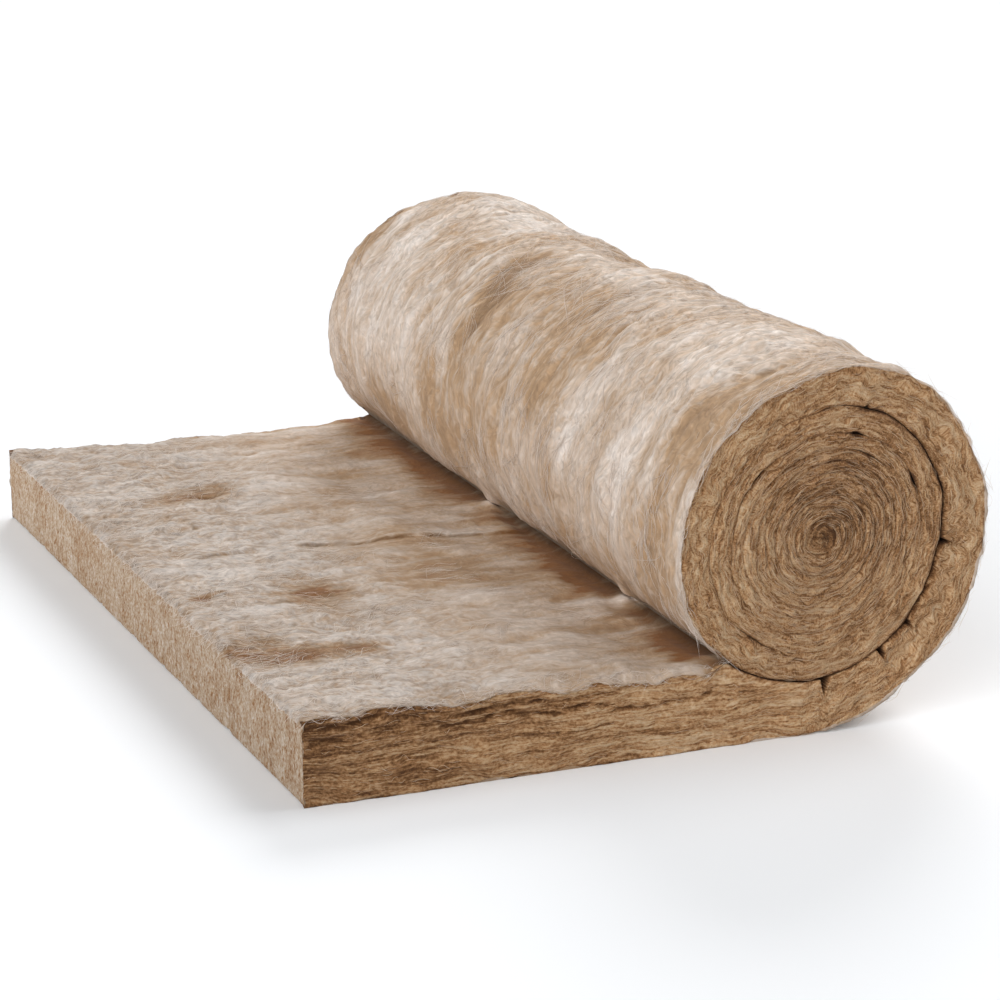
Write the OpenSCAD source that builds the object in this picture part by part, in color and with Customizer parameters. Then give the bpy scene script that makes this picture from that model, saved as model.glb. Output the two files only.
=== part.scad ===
// Roll of unfaced mineral wool insulation, partly unrolled.
// One mat: a flat tail lies on the floor, lifts off it and winds into a soft roll whose turns
// tighten towards the core. +X points from the tail to the roll, +Y runs along the roll's axis
// and +Z is up. The origin is on the floor, in the middle of the part's length and width.

/* [Mat] */
// Width of the mat, which is the roll's length along its axis
mat_width = 1200; // [400:10:1500]
// Thickness of the mat where it lies flat
mat_thickness = 100; // [60:5:160]

/* [Tail] */
// Length of the flat tail at its near edge, from the cut end to where the mat lifts off the floor
tail_length = 590; // [350:10:1500]
// Extra length of the tail at its far edge, because its end is cut out of square
cut_skew = 40; // [0:1:80]

/* [Roll] */
// Mean radius of the outer turn where it lifts off the floor
roll_radius = 222; // [180:1:400]
// Radius at which the innermost turn ends
core_radius = 10; // [6:1:30]
// Step from turn to turn at the core, where the mat is still tightly packed
core_pitch = 12; // [10:1:40]
// Share of the flat thickness that is left in the outer turn under the roll
outer_loft = 0.77; // [0.5:0.01:0.95]
// Share of the outer turn's extra loft that is left one turn further in
loft_kept = 0.42; // [0.2:0.01:0.8]
// How much the soft roll leans, as a radius added to and taken from its quarters in turn
lean = 15; // [0:1:30]

/* [Turns on the ends] */
// Width of the seam between two turns at the roll's ends
seam_width = 4; // [2:0.5:8]
// Depth of that seam
seam_depth = 9; // [4:1:30]

/* [Creases] */
// Width of a crease on the inside of the outer turn
crease_width = 11; // [4:1:20]
// How far a crease runs outwards into the mat
crease_height = 22; // [8:1:40]
// How far a crease runs in from the roll's ends
crease_reach = 60; // [20:5:200]

/* [Slit] */
// Width of the slit along the middle of the mat, where it splits into two half-width mats
slit_width = 3; // [1:0.5:8]
// Depth of that slit
slit_depth = 6; // [2:1:20]

/* [Hidden] */
$fn = 180;

// Places of the creases, as angles round the roll from +X towards +Z, and each one's share of the full size
creases = [[-82, 1], [-57, 0.8], [-42, 0.6], [-9, 0.7], [76, 0.4]];
// How far a cutter stands past the face that it cuts
cutter_lip = 1;
// The roll is wound from quarter turns, and the first four of them are its outer face
quarter = 90;
outer_quarters = 4;
wool_colour = [0.66, 0.54, 0.42];

// Step from turn to turn, so many turns in from the outside: it falls from the outer loft to the core's
function pitch(turns) = core_pitch + (outer_loft * mat_thickness - core_pitch) * pow(loft_kept, turns);

// Radius at the start of each quarter turn, down to the core
function wound_radii(radius, k = 0) =
    radius < core_radius ? [] : concat([radius], wound_radii(radius - pitch(k / 4) / 4, k + 1));
wound = wound_radii(roll_radius);

// Arcs that carry on from each other share their ends exactly, so their radii are whole hundredths
grid_step = 0.01;
function snap(size) = round(size / grid_step) * grid_step;

// Radius of each quarter's arc: the lean makes every other quarter flatter or rounder
function lean_side(k) = k % 2 == 0 ? 1 : -1;
radii = [for (k = [0 : len(wound) - 1]) snap(wound[k] + lean_side(k) * lean * wound[k] / roll_radius)];

// A quarter starts at this angle, and the next one carries on from its end without a kink
function start_angle(k) = quarter * (k - 1);
function along(angle) = [cos(angle), sin(angle)];
function next_centre(centre, k) = centre + (radii[k] - radii[k + 1]) * along(start_angle(k) + quarter);

// Centre of each quarter's arc, [x, z] from where the mat lifts off the floor
function arc_centres(centre, k = 0) =
    k == len(radii) - 1 ? [centre] : concat([centre], arc_centres(next_centre(centre, k), k + 1));
centres = arc_centres([0, radii[0]]);

// A point of the spiral on quarter k
function spiral_point(k, angle) = centres[k] + radii[k] * along(angle);

// The roll sinks into the tail, so its outer face meets the tail's top partway down its last quarter
nip_quarter = outer_quarters - 1;
nip_angle = 180 - asin((mat_thickness - centres[nip_quarter].y) / radii[nip_quarter]);

// The part's middle is at the origin
lift_off_x = (tail_length + cut_skew - radii[0]) / 2;

// A profile of [radius, distance along the roll] turned about quarter k's own axis
module turned(k, from_angle, to_angle) {
    translate([centres[k].x, 0, centres[k].y])
        rotate([90, 0, 0])
            rotate_extrude(angle = to_angle - from_angle, start = from_angle)
                children();
}

// A profile of [x, z] drawn out along the roll's axis
module drawn(length) {
    rotate([90, 0, 0])
        linear_extrude(length, center = true)
            children();
}

// The flat tail, with its end cut out of square
module tail() {
    linear_extrude(mat_thickness)
        polygon([
            [-tail_length, -mat_width / 2],
            [0, -mat_width / 2],
            [0, mat_width / 2],
            [-tail_length - cut_skew, mat_width / 2]
        ]);
}

// The slit along the middle of the tail's top
module slit() {
    half_width = slit_width / 2 * (1 + cutter_lip / slit_depth);
    translate([0, 0, mat_thickness])
        rotate([0, -90, 0])
            linear_extrude(tail_length + cut_skew + cutter_lip)
                polygon([[cutter_lip, -half_width], [cutter_lip, half_width], [-slit_depth, 0]]);
}

// The wound body: four turned quarters and the polygon that their ends span
module wound_body() {
    for (k = [0 : outer_quarters - 1])
        turned(k, start_angle(k), start_angle(k) + quarter)
            translate([0, -mat_width / 2])
                square([radii[k], mat_width]);
    drawn(mat_width)
        polygon([for (k = [0 : outer_quarters]) spiral_point(k, start_angle(k))]);
}

// One stretch of the seam between the turns, cut into both ends
module seam(k, from_angle) {
    half_width = snap(seam_width / 2 * (1 + cutter_lip / seam_depth));
    turned(k, from_angle, start_angle(k) + quarter)
        for (side = [-1, 1])
            polygon([
                [radii[k] - half_width, side * (mat_width / 2 + cutter_lip)],
                [radii[k] + half_width, side * (mat_width / 2 + cutter_lip)],
                [radii[k], side * (mat_width / 2 - seam_depth)]
            ]);
}

// The whole spiral seam, from the nip to the core
module seams() {
    seam(nip_quarter, nip_angle);
    for (k = [outer_quarters : len(radii) - 1])
        seam(k, start_angle(k));
}

// A crease where the outer turn buckles against the turn inside it, cut into both ends
module crease(angle, share) {
    k = outer_quarters + floor(angle / quarter) + 1;
    place = spiral_point(k, angle);
    for (side = [-1, 1])
        translate([place.x, side * (mat_width / 2 + cutter_lip - crease_reach / 2), place.y])
            rotate([0, -angle, 0])
                drawn(crease_reach)
                    polygon([
                        [-seam_width / 2, -crease_width / 2 * share],
                        [-seam_width / 2, crease_width / 2 * share],
                        [crease_height * share, 0]
                    ]);
}

// The mat: its tail and its roll are one piece
module insulation_mat() {
    color(wool_colour)
        translate([lift_off_x, 0, 0])
            difference() {
                union() {
                    wound_body();
                    difference() {
                        tail();
                        slit();
                    }
                }
                seams();
                for (each_one = creases)
                    crease(each_one[0], each_one[1]);
            }
}

insulation_mat();
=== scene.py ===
"""A partly unrolled mat of unfaced mineral wool, laid out as an add-on and run as a script.

The mat's section is a flat tail that lifts off the floor and winds into a spiral roll. Its skin is one
surface over the section's outline and the width, its cut sides are the mat's edge carried along the
winding, and loose fibres are combed along both. +X points from the tail to the roll, +Y runs along the
roll's axis and +Z is up. All sizes are in metres.
"""
import math
from collections import namedtuple

import bpy
import numpy as np
from bpy.props import FloatProperty, FloatVectorProperty, IntProperty, PointerProperty
from bpy.types import Operator, Panel, PropertyGroup
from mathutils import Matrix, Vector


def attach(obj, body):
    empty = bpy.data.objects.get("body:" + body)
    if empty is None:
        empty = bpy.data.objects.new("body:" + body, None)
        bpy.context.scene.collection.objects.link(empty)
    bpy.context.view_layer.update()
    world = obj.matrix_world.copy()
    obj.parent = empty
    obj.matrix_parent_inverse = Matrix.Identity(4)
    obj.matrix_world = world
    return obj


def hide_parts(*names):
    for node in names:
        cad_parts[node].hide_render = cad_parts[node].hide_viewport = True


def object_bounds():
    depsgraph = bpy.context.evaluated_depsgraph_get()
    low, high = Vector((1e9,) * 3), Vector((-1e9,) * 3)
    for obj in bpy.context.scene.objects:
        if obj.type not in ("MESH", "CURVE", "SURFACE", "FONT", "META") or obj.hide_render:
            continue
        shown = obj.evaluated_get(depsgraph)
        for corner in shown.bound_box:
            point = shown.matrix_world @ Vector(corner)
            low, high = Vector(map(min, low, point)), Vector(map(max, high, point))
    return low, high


bl_info = {
    "name": "Mineral wool roll",
    "version": (1, 0, 0),
    "blender": (4, 5, 0),
    "location": "3D View > Sidebar > Wool roll",
    "description": "Builds a partly unrolled mat of mineral wool insulation",
    "category": "Add Mesh",
}

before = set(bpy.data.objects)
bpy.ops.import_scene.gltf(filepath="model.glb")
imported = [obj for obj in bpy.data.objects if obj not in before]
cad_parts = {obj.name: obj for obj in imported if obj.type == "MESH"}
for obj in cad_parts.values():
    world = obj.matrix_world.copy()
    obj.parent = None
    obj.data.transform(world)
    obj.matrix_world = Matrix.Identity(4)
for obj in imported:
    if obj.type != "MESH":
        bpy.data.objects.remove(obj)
CAD_LOW, CAD_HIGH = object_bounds()
NODE = "insulation_mat"
BODY = "root"
QUARTER = math.pi / 2
OUTER_QUARTERS = 4
MAT_UV = "mat_uv"
# Stretches of the section's outline, in the order in which the skin's grid runs round it, and the material
# of each: 0 is the roll's face, 1 the cut end and 2 the tail's top
TAIL_TOP, TOP_EDGE, CUT_END, BOTTOM_EDGE, UNDERSIDE, ROLL_FACE = range(6)
MATERIAL_OF = np.array([2, 2, 1, 1, 0, 0])
# Distance from the nip over which relief fades out, and quarter turns over which it comes in off the floor
NIP_FADE = 0.030
LIFT_TURN = 0.45
# Quarter turns after the lift-off from which the mat's outer side lies against another turn
SEAM_START = 3.5
# Lowest height of a loose fibre
FIBRE_FLOOR = 0.001
# The camera's place, and its angles downwards and to the right, in degrees
CAMERA_PLACE = (-1.3021, -3.4156, 1.1972)
CAMERA_DOWN = 16.128
CAMERA_RIGHT = 21.937

Winding = namedtuple("Winding", "radii centres starts")
Patch = namedtuple("Patch", "along across half_length half_width amount")
Layer = namedtuple("Layer", "along across bend detail output weight")
Outline = namedtuple("Outline", "x y z region turn length to_nip bridge")
Skin = namedtuple("Skin", "place out relief veil dust loose length y region")
Path = namedtuple("Path", "outer inner turn inner_turn length")
Side = namedtuple("Side", "place length across tint dust groove front")

# Places on the tail's top where the pale fluff is thin: along is x and across is y
BARE_ON_TAIL = (
    Patch(-0.364, -0.373, 0.050, 0.044, 1.0),
    Patch(-0.296, -0.384, 0.070, 0.024, 0.9),
    Patch(-0.240, -0.175, 0.050, 0.064, 0.62),
    Patch(-0.241, -0.176, 0.030, 0.016, 0.5),
    Patch(-0.365, -0.150, 0.022, 0.016, 0.7),
    Patch(-0.247, 0.284, 0.060, 0.028, 0.6),
    Patch(-0.050, -0.170, 0.090, 0.070, 0.35),
    Patch(0.046, 0.405, 0.045, 0.055, 0.5),
    # The three patches at x 0.08 form a band along the nip: painted shade
    Patch(0.083, -0.540, 0.028, 0.070, 0.7),
    Patch(0.086, -0.210, 0.030, 0.110, 0.5),
    Patch(0.080, 0.200, 0.030, 0.150, 0.45),
    Patch(-0.330, 0.050, 0.040, 0.012, 0.25),
)
# Places on the tail's top that carry more fluff
THICK_ON_TAIL = (
    Patch(-0.070, -0.410, 0.070, 0.022, 0.35),
    Patch(-0.147, 0.289, 0.060, 0.060, 0.3),
    Patch(-0.190, -0.480, 0.150, 0.060, 0.08),
    Patch(-0.330, -0.080, 0.040, 0.050, 0.2),
    Patch(0.010, 0.560, 0.050, 0.050, 0.2),
)
# Small pits in the tail's top
PITS_ON_TAIL = (
    Patch(-0.239, 0.267, 0.012, 0.005, 0.016),
    Patch(-0.217, 0.427, 0.014, 0.004, 0.012),
    Patch(-0.367, -0.156, 0.012, 0.008, 0.006),
    Patch(-0.230, -0.196, 0.020, 0.006, 0.006),
    Patch(-0.300, 0.150, 0.010, 0.006, 0.005),
    Patch(-0.120, 0.470, 0.012, 0.006, 0.006),
)
# Swells and hollows of the tail's top
SWELLS_ON_TAIL = (
    Patch(-0.150, 0.290, 0.070, 0.060, 0.007),
    Patch(-0.120, 0.600, 0.240, 0.035, -0.0075),
    Patch(-0.330, 0.540, 0.080, 0.060, -0.003),
)
# Stretches of the tail's near top edge where fluff hangs over the cut side
OVERHANGS = (
    Patch(0.000, 0.0, 0.060, 1.0, 0.010),
    Patch(-0.090, 0.0, 0.030, 1.0, 0.006),
    Patch(-0.230, 0.0, 0.050, 1.0, 0.004),
    Patch(0.070, 0.0, 0.020, 1.0, 0.006),
)
# Stretches of the slit along the middle of the tail's top that stand open: from x, to x and how far
OPEN_SLIT = ((-0.350, -0.262, 0.7), (-0.210, 0.105, 1.0))
# Places on the roll where the fluff is thin: along is in quarter turns and across is y
BARE_ON_ROLL = (
    Patch(2.26, 0.150, 0.13, 0.036, 1.40),
    Patch(2.40, 0.128, 0.11, 0.034, 1.30),
    Patch(2.58, 0.110, 0.11, 0.028, 1.10),
    Patch(2.68, 0.132, 0.08, 0.022, 0.70),
    Patch(2.36, 0.110, 0.26, 0.080, 0.30),
    Patch(2.36, -0.070, 0.22, 0.080, 0.55),
    # Painted shade: this narrow patch darkens the fold cut at the same place among the swells
    Patch(2.33, -0.210, 0.06, 0.008, 1.10),
    Patch(2.46, -0.552, 0.28, 0.050, 0.75),
    Patch(2.20, -0.560, 0.20, 0.050, 0.40),
    Patch(3.06, -0.520, 0.24, 0.050, 0.60),
    Patch(2.70, -0.120, 0.20, 0.030, 0.35),
    Patch(3.08, -0.217, 0.06, 0.012, 0.60),
    Patch(3.08, 0.135, 0.20, 0.100, 0.50),
    Patch(2.82, 0.124, 0.12, 0.050, 0.45),
    # Painted shade: this patch darkens the roll's lower face by the nip
    Patch(3.25, 0.350, 0.20, 0.110, 0.60),
    Patch(2.45, 0.582, 0.20, 0.020, 0.60),
    Patch(2.16, 0.515, 0.14, 0.050, 0.30),
    Patch(1.50, -0.200, 0.30, 0.060, 0.30),
    Patch(0.80, 0.300, 0.30, 0.050, 0.35),
)
# Places on the roll that carry more fluff
THICK_ON_ROLL = (
    Patch(2.80, -0.410, 0.26, 0.055, 0.34),
    Patch(2.74, -0.272, 0.24, 0.045, 0.26),
    Patch(2.08, -0.400, 0.22, 0.130, 0.28),
    Patch(2.06, -0.060, 0.12, 0.100, 0.24),
    Patch(2.78, -0.592, 0.24, 0.007, 0.40),
    Patch(2.75, 0.430, 0.36, 0.130, 0.32),
    Patch(2.83, 0.310, 0.16, 0.040, 0.16),
    Patch(1.90, 0.400, 0.26, 0.130, 0.30),
)
# Swells and hollows of the roll's face
SWELLS_ON_ROLL = (
    Patch(1.74, 0.500, 0.50, 0.055, 0.0075),
    Patch(1.75, 0.345, 0.40, 0.090, -0.0085),
    Patch(1.74, 0.100, 0.30, 0.070, -0.0120),
    Patch(1.74, -0.405, 0.40, 0.060, 0.0060),
    Patch(1.72, -0.165, 0.30, 0.040, -0.0035),
    Patch(1.72, -0.580, 0.30, 0.040, 0.0040),
    Patch(2.12, 0.600, 0.22, 0.030, -0.0060),
    Patch(1.35, -0.600, 0.20, 0.050, -0.0040),
    Patch(2.70, 0.600, 0.15, 0.050, -0.0035),
    Patch(2.10, -0.060, 0.20, 0.060, 0.0050),
    Patch(2.33, -0.210, 0.07, 0.009, -0.0070),
    Patch(3.06, 0.330, 0.08, 0.010, -0.0080),
)
# Creases on the inside of the outer turn: quarter turns after the lift-off, and share of the full size
CREASES = ((0.09, 1.0), (0.37, 0.8), (0.53, 0.6), (0.90, 0.7), (1.84, 0.4))
# Places along the nip where pale fluff bridges it: along is y
NIP_BRIDGES = (
    Patch(-0.345, 0.0, 0.024, 1.0, 1.0),
    Patch(0.087, 0.0, 0.028, 1.0, 1.0),
    Patch(-0.575, 0.0, 0.012, 1.0, 0.6),
)
# Small pockets in the closed seam further in: quarter turns after the lift-off, half-length and how open
POCKETS = ((9.28, 0.07, 0.8), (9.84, 0.05, 1.0), (10.55, 0.10, 0.5), (13.7, 0.12, 0.4), (7.62, 0.10, 0.4))
# Layers of the roll's face and of the tail's top: repeats in a metre along and across the mat, how far
# they bend, their octaves, which output they use and their weight
ROLL_WEAVE = (
    Layer(9.0, 14.0, 0.08, 4.0, "Value", 0.60),
    Layer(3.5, 26.0, 0.09, 3.0, "Value", 0.80),
    Layer(5.0, 44.0, 0.10, 2.0, "Line", 0.14),
)
ROLL_TUFTS = (
    Layer(9.0, 90.0, 0.16, 3.0, "Value", 0.36),
    Layer(90.0, 130.0, 0.04, 4.0, "Value", 0.66),
    Layer(20.0, 30.0, 0.18, 2.0, "Line", 0.16),
)
ROLL_GRAIN = (
    Layer(20.0, 240.0, 0.10, 4.0, "Value", 0.52),
    Layer(70.0, 90.0, 0.08, 4.0, "Value", 0.95),
    Layer(28.0, 60.0, 0.18, 2.0, "Line", -0.22),
    Layer(20.0, 52.0, 0.18, 2.0, "Line", 0.16),
)
TAIL_WEAVE = (
    Layer(13.0, 16.0, 0.08, 4.0, "Value", 0.80),
    Layer(4.0, 40.0, 0.08, 4.0, "Value", 0.60),
)
TAIL_TUFTS = (
    Layer(140.0, 110.0, 0.03, 4.0, "Value", 1.10),
    Layer(45.0, 45.0, 0.16, 2.0, "Line", 0.16),
    Layer(20.0, 50.0, 0.08, 2.0, "Line", 0.12),
    Layer(12.0, 40.0, 0.11, 2.0, "Line", -0.10),
)
TAIL_GRAIN = (
    Layer(60.0, 90.0, 0.06, 4.0, "Value", 1.00),
    Layer(26.0, 56.0, 0.16, 2.0, "Line", -0.20),
    Layer(34.0, 50.0, 0.16, 2.0, "Line", 0.14),
)
ROLL_LAYERS = (ROLL_WEAVE, ROLL_TUFTS, ROLL_GRAIN)
TAIL_LAYERS = (TAIL_WEAVE, TAIL_TUFTS, TAIL_GRAIN)


def tinted(name, description, colour):
    """A colour property."""
    return FloatVectorProperty(
        name=name, description=description, default=colour, size=3, subtype="COLOR", min=0.0, max=1.0
    )


def sized(name, description, size):
    """A length property in metres."""
    return FloatProperty(name=name, description=description, default=size, unit="LENGTH", precision=4)


class MatSizes(PropertyGroup):
    """Sizes of the mat and of its winding."""

    width: sized("Width", "Width of the mat along the roll's axis", CAD_HIGH.y - CAD_LOW.y)
    thickness: sized("Thickness", "Thickness of the mat where it lies flat", 0.1)
    tail_length: sized("Tail", "Length of the flat tail at its near edge", 0.59)
    cut_skew: sized("Skew", "Extra length of the tail at its far edge", 0.04)
    roll_radius: sized("Roll radius", "Mean radius of the outer turn where it lifts off the floor", 0.222)
    core_radius: sized("Core radius", "Radius at which the innermost turn ends", 0.010)
    core_pitch: sized("Core pitch", "Step from turn to turn at the core", 0.012)
    lean: sized("Lean", "Radius added to and taken from the roll's quarters in turn", 0.015)
    outer_loft: FloatProperty(
        name="Outer loft", description="Share of the flat thickness left in the outer turn", default=0.77
    )
    loft_kept: FloatProperty(
        name="Loft kept", description="Share of the extra loft left one turn further in", default=0.42
    )
    top_edge: sized("Top edge", "Rounding of the cut end's top edge", 0.009)
    bottom_edge: sized("Bottom edge", "Rounding of the cut end's bottom edge", 0.005)
    crease_width: sized("Crease width", "Width of a crease on the inside of the outer turn", 0.011)
    crease_height: sized("Crease height", "How far a crease runs outwards", 0.022)
    side_depth: sized("Side depth", "How far the modelled cut side reaches into the roll", 0.040)


class WoolColours(PropertyGroup):
    """Colours of the wool."""

    cream: tinted("Cream", "Palest loose fluff", (0.74, 0.655, 0.59))
    beige: tinted("Beige", "Usual fluff", (0.56, 0.44, 0.345))
    tan: tinted("Tan", "Thin fluff over the mat", (0.43, 0.285, 0.172))
    # Nut and rust are also the painted shade by the nip, on the roll and on the tail's top
    nut: tinted("Nut", "Thinnest fluff on the roll", (0.27, 0.165, 0.090))
    rust: tinted("Rust", "Bare mat on the tail's top", (0.26, 0.110, 0.035))
    umber: tinted("Umber", "Deep places", (0.21, 0.10, 0.040))
    gold: tinted("Gold", "Cut fibres on the sides", (0.54, 0.33, 0.17))
    straw: tinted("Straw", "Pale strands on the sides", (0.68, 0.49, 0.31))
    stalk: tinted("Stalk", "Pale strands on the cut end", (0.56, 0.43, 0.31))
    russet: tinted("Russet", "Warm strata on the sides", (0.37, 0.19, 0.083))
    # Bark is also the painted shade in the seams and clefts of the cut sides
    bark: tinted("Bark", "Darkest clefts on the sides", (0.10, 0.042, 0.015))


class FluffAmounts(PropertyGroup):
    """How much loose fibre there is, and how fine the surfaces are."""

    roll_fibres: IntProperty(name="Roll fibres", description="Loose fibres on the roll's face", default=2600)
    tail_fibres: IntProperty(name="Tail fibres", description="Loose fibres on the tail's top", default=1800)
    edge_fibres: IntProperty(name="Edge fibres", description="Loose fibres along the edges", default=2400)
    side_fibres: IntProperty(name="Side fibres", description="Loose fibres on each cut side", default=2600)
    skin_step: sized("Skin step", "Grid step of the skin", 0.0044)
    side_step: sized("Side step", "Grid step of the cut sides along the mat", 0.0031)
    side_rows: IntProperty(name="Side rows", description="Grid rows across the mat's thickness", default=26)


class StageLight(PropertyGroup):
    """The lamps, the floor and the lens."""

    top: FloatProperty(name="Top", description="Strength of the high lamp at the right", default=1.15)
    back: FloatProperty(name="Back", description="Strength of the low lamp behind, at the right", default=1.6)
    fill: FloatProperty(name="Fill", description="Strength of the lamp in front, at the left", default=2.05)
    sky: FloatProperty(name="Sky", description="Strength of the even light all round", default=0.32)
    floor_lift: FloatProperty(
        name="Floor lift", description="Light that whitens the floor in view", default=0.04
    )
    lens: FloatProperty(name="Lens", description="Focal length in millimetres", default=106.71)


def hashed(i, j, seed):
    """A number from 0 to 1 for each lattice corner: whole numbers mixed by multiplying and shifting."""
    n = (i * 374761393 + j * 668265263 + seed * 974634133) & 0xFFFFFFFF
    n = ((n ^ (n >> 13)) * 1274126177) & 0xFFFFFFFF
    return (n ^ (n >> 16)) / 0xFFFFFFFF


def noise(x, y, seed):
    """Gradient noise from about -1 to 1: each lattice corner has a slope, and they blend smoothly."""
    x, y = np.broadcast_arrays(np.asarray(x, float), np.asarray(y, float))
    i = np.floor(x).astype(np.int64)
    j = np.floor(y).astype(np.int64)
    u = x - i
    v = y - j

    def corner(a, b):
        turn = 2 * math.pi * hashed(i + a, j + b, seed)
        return np.cos(turn) * (u - a) + np.sin(turn) * (v - b)

    su = u * u * u * (u * (u * 6 - 15) + 10)
    sv = v * v * v * (v * (v * 6 - 15) + 10)
    low = corner(0, 0) * (1 - su) + corner(1, 0) * su
    high = corner(0, 1) * (1 - su) + corner(1, 1) * su
    return 1.5 * (low * (1 - sv) + high * sv)


def layered(x, y, seed, octaves=3):
    """Noise in octaves: each has twice the detail and half the height of the one before."""
    total = 0.0
    for octave in range(octaves):
        total = total + 0.5**octave * noise(x * 2**octave, y * 2**octave, seed + octave)
    return total


def ridged(x, y, seed, octaves=2):
    """Noise folded at zero, so that it has sharp crests: 1 less twice its size, in octaves."""
    total = 0.0
    for octave in range(octaves):
        height = np.abs(noise(x * 2**octave, y * 2**octave, seed + octave))
        total = total + 0.5**octave * (1 - 2 * height)
    return total


def ease(t):
    """Smooth step from 0 at 0 to 1 at 1."""
    t = np.clip(t, 0, 1)
    return t * t * (3 - 2 * t)


def patches(along, across, places, power=2.0):
    """Sum of soft-edged ellipses: amount times exp of minus the squared distance, raised to a power."""
    total = 0.0
    for place in places:
        a = (along - place.along) / place.half_length
        b = (across - place.across) / place.half_width
        total = total + place.amount * np.exp(-((a * a + b * b) ** power))
    return total


def wind(sizes):
    """The winding as quarter arcs: each radius is less by a quarter of the pitch there, and each centre is
    set so that an arc carries on from the last without a kink."""
    radius = sizes.roll_radius
    wound = []
    while radius >= sizes.core_radius:
        loft = sizes.outer_loft * sizes.thickness - sizes.core_pitch
        pitch = sizes.core_pitch + loft * sizes.loft_kept ** (len(wound) / 4)
        wound.append(radius)
        radius -= pitch / 4
    wound = np.array(wound)
    lean_side = np.where(np.arange(len(wound)) % 2 == 0, 1, -1)
    radii = wound * (1 + lean_side * sizes.lean / sizes.roll_radius)
    turned = np.arange(len(radii) - 1) * QUARTER
    steps = (radii[:-1] - radii[1:])[:, None] * np.stack([np.cos(turned), np.sin(turned)], -1)
    lift_off = (sizes.tail_length + sizes.cut_skew - radii[0]) / 2
    centres = np.array([lift_off, radii[0]]) + np.concatenate([np.zeros((1, 2)), np.cumsum(steps, 0)])
    starts = np.concatenate([[0.0], np.cumsum(radii * QUARTER)])
    return Winding(radii, centres, starts)


def around(winding, q):
    """Place [x, z] and outward direction on the winding, q quarter turns after it lifts off the floor."""
    k = np.clip(np.floor(q).astype(int), 0, len(winding.radii) - 1)
    out = np.stack([np.cos((q - 1) * QUARTER), np.sin((q - 1) * QUARTER)], -1)
    return winding.centres[k] + winding.radii[k][..., None] * out, out


def wound_length(winding, q):
    """Length of the mat from where it lifts off the floor to q quarter turns on."""
    k = np.clip(np.floor(q).astype(int), 0, len(winding.radii) - 1)
    return winding.starts[k] + winding.radii[k] * QUARTER * (q - k)


def nip_turn(winding, sizes):
    """Quarter turns at which the outer turn comes down onto the tail's top."""
    k = OUTER_QUARTERS - 1
    drop = (winding.centres[k][1] - sizes.thickness) / winding.radii[k]
    return k + math.asin(drop) / QUARTER


def tail_bare(x, y):
    """How thin the fluff is on the tail's top, from 0 to 1: patches whose edges are frayed by noise."""
    fray_x = 0.020 * layered(x * 18, y * 50, 11)
    fray_y = 0.007 * layered(x * 22, y * 60, 12)
    return np.clip(patches(x + fray_x, y + fray_y, BARE_ON_TAIL), 0, 1)


def tail_veil(x, y):
    """Amount of pale fluff on the tail's top: lumps at its cut end and streaks along x by the roll, with bare
    and thick patches, and less in the slit."""
    by_roll = ease((x + 0.28) / 0.25)
    veil = 0.70 - 0.16 * by_roll + 0.20 * layered(x * 6, y * 12, 13)
    veil = veil + 0.24 * by_roll * layered(x * 2.5, y * 30, 14)
    veil = veil + 0.14 * (1 - by_roll) * layered(x * 24, y * 34, 15)
    return veil - 0.90 * tail_bare(x, y) - 0.4 * slit(x, y) + patches(x, y, THICK_ON_TAIL, 1.0)


def slit_line(x, y):
    """How open the slit is at x, from 0 to 1, and how far a place lies beyond it."""
    line = 0.001 * noise(x * 9, x * 0 + 3.3, 26) - 0.135 * np.maximum(x + 0.20, 0)
    opened = sum(amount * ease((x - low) / 0.02) * ease((high - x) / 0.02) for low, high, amount in OPEN_SLIT)
    return opened, y - line


def slit(x, y):
    """How open the slit along the middle of the mat is, from 0 to 1: a thin frayed line that leans towards
    the near side."""
    opened, off = slit_line(x, y)
    frayed = np.clip(0.75 + 0.8 * layered(x * 30, y * 200, 27), 0, 1)
    return opened * frayed * np.exp(-(((off - 0.0012) / 0.0026) ** 2))


def tail_relief(x, y):
    """Height of the tail's top over its plane: swells, lumps and puffs that are largest at the cut end, less
    pits and bare patches, with a ledge beside the slit."""
    swell = 0.0035 * layered(x * 5, y * 6, 21) + patches(x, y, SWELLS_ON_TAIL, 1.0)
    lumps = 0.0040 * layered(x * 12, y * 17, 22, 2)
    puffs = 0.0046 * np.abs(noise(x * 17, y * 24, 28))
    puffs = puffs + 0.0030 * np.abs(noise(x * 40, y * 52, 29)) - 0.0018
    crumbs = 0.0022 * np.abs(noise(x * 85, y * 80, 24)) - 0.0006
    bumps = (puffs + crumbs) * (0.35 + 0.65 * ease((0.05 - x) / 0.35)) + lumps
    opened, off = slit_line(x, y)
    calm = np.maximum.reduce([tail_bare(x, y + ahead) for ahead in (0.0, 0.016, 0.032)])
    calm = np.maximum(calm, opened * np.exp(-(((off + 0.012) / 0.020) ** 2)))
    bumps = bumps * (1 - 0.85 * calm)
    ledge = 0.0045 * opened * ease((off + 0.001) / 0.006) * np.exp(-np.maximum(off, 0) / 0.05)
    pits = patches(x + 0.004 * noise(x * 60, y * 60, 25), y, PITS_ON_TAIL, 1.0)
    return swell + bumps + ledge - pits - 0.0020 * tail_bare(x, y) - 0.0006


def roll_bare(q, y):
    """How thin the fluff is on the roll, from 0 to 1.5: patches whose edges are frayed by noise."""
    fray_q = 0.08 * layered(q * 5, y * 30, 31)
    fray_y = 0.010 * layered(q * 4, y * 40, 32)
    return np.clip(patches(q + fray_q, y + fray_y, BARE_ON_ROLL, 1.4), 0, 1.5)


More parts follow.
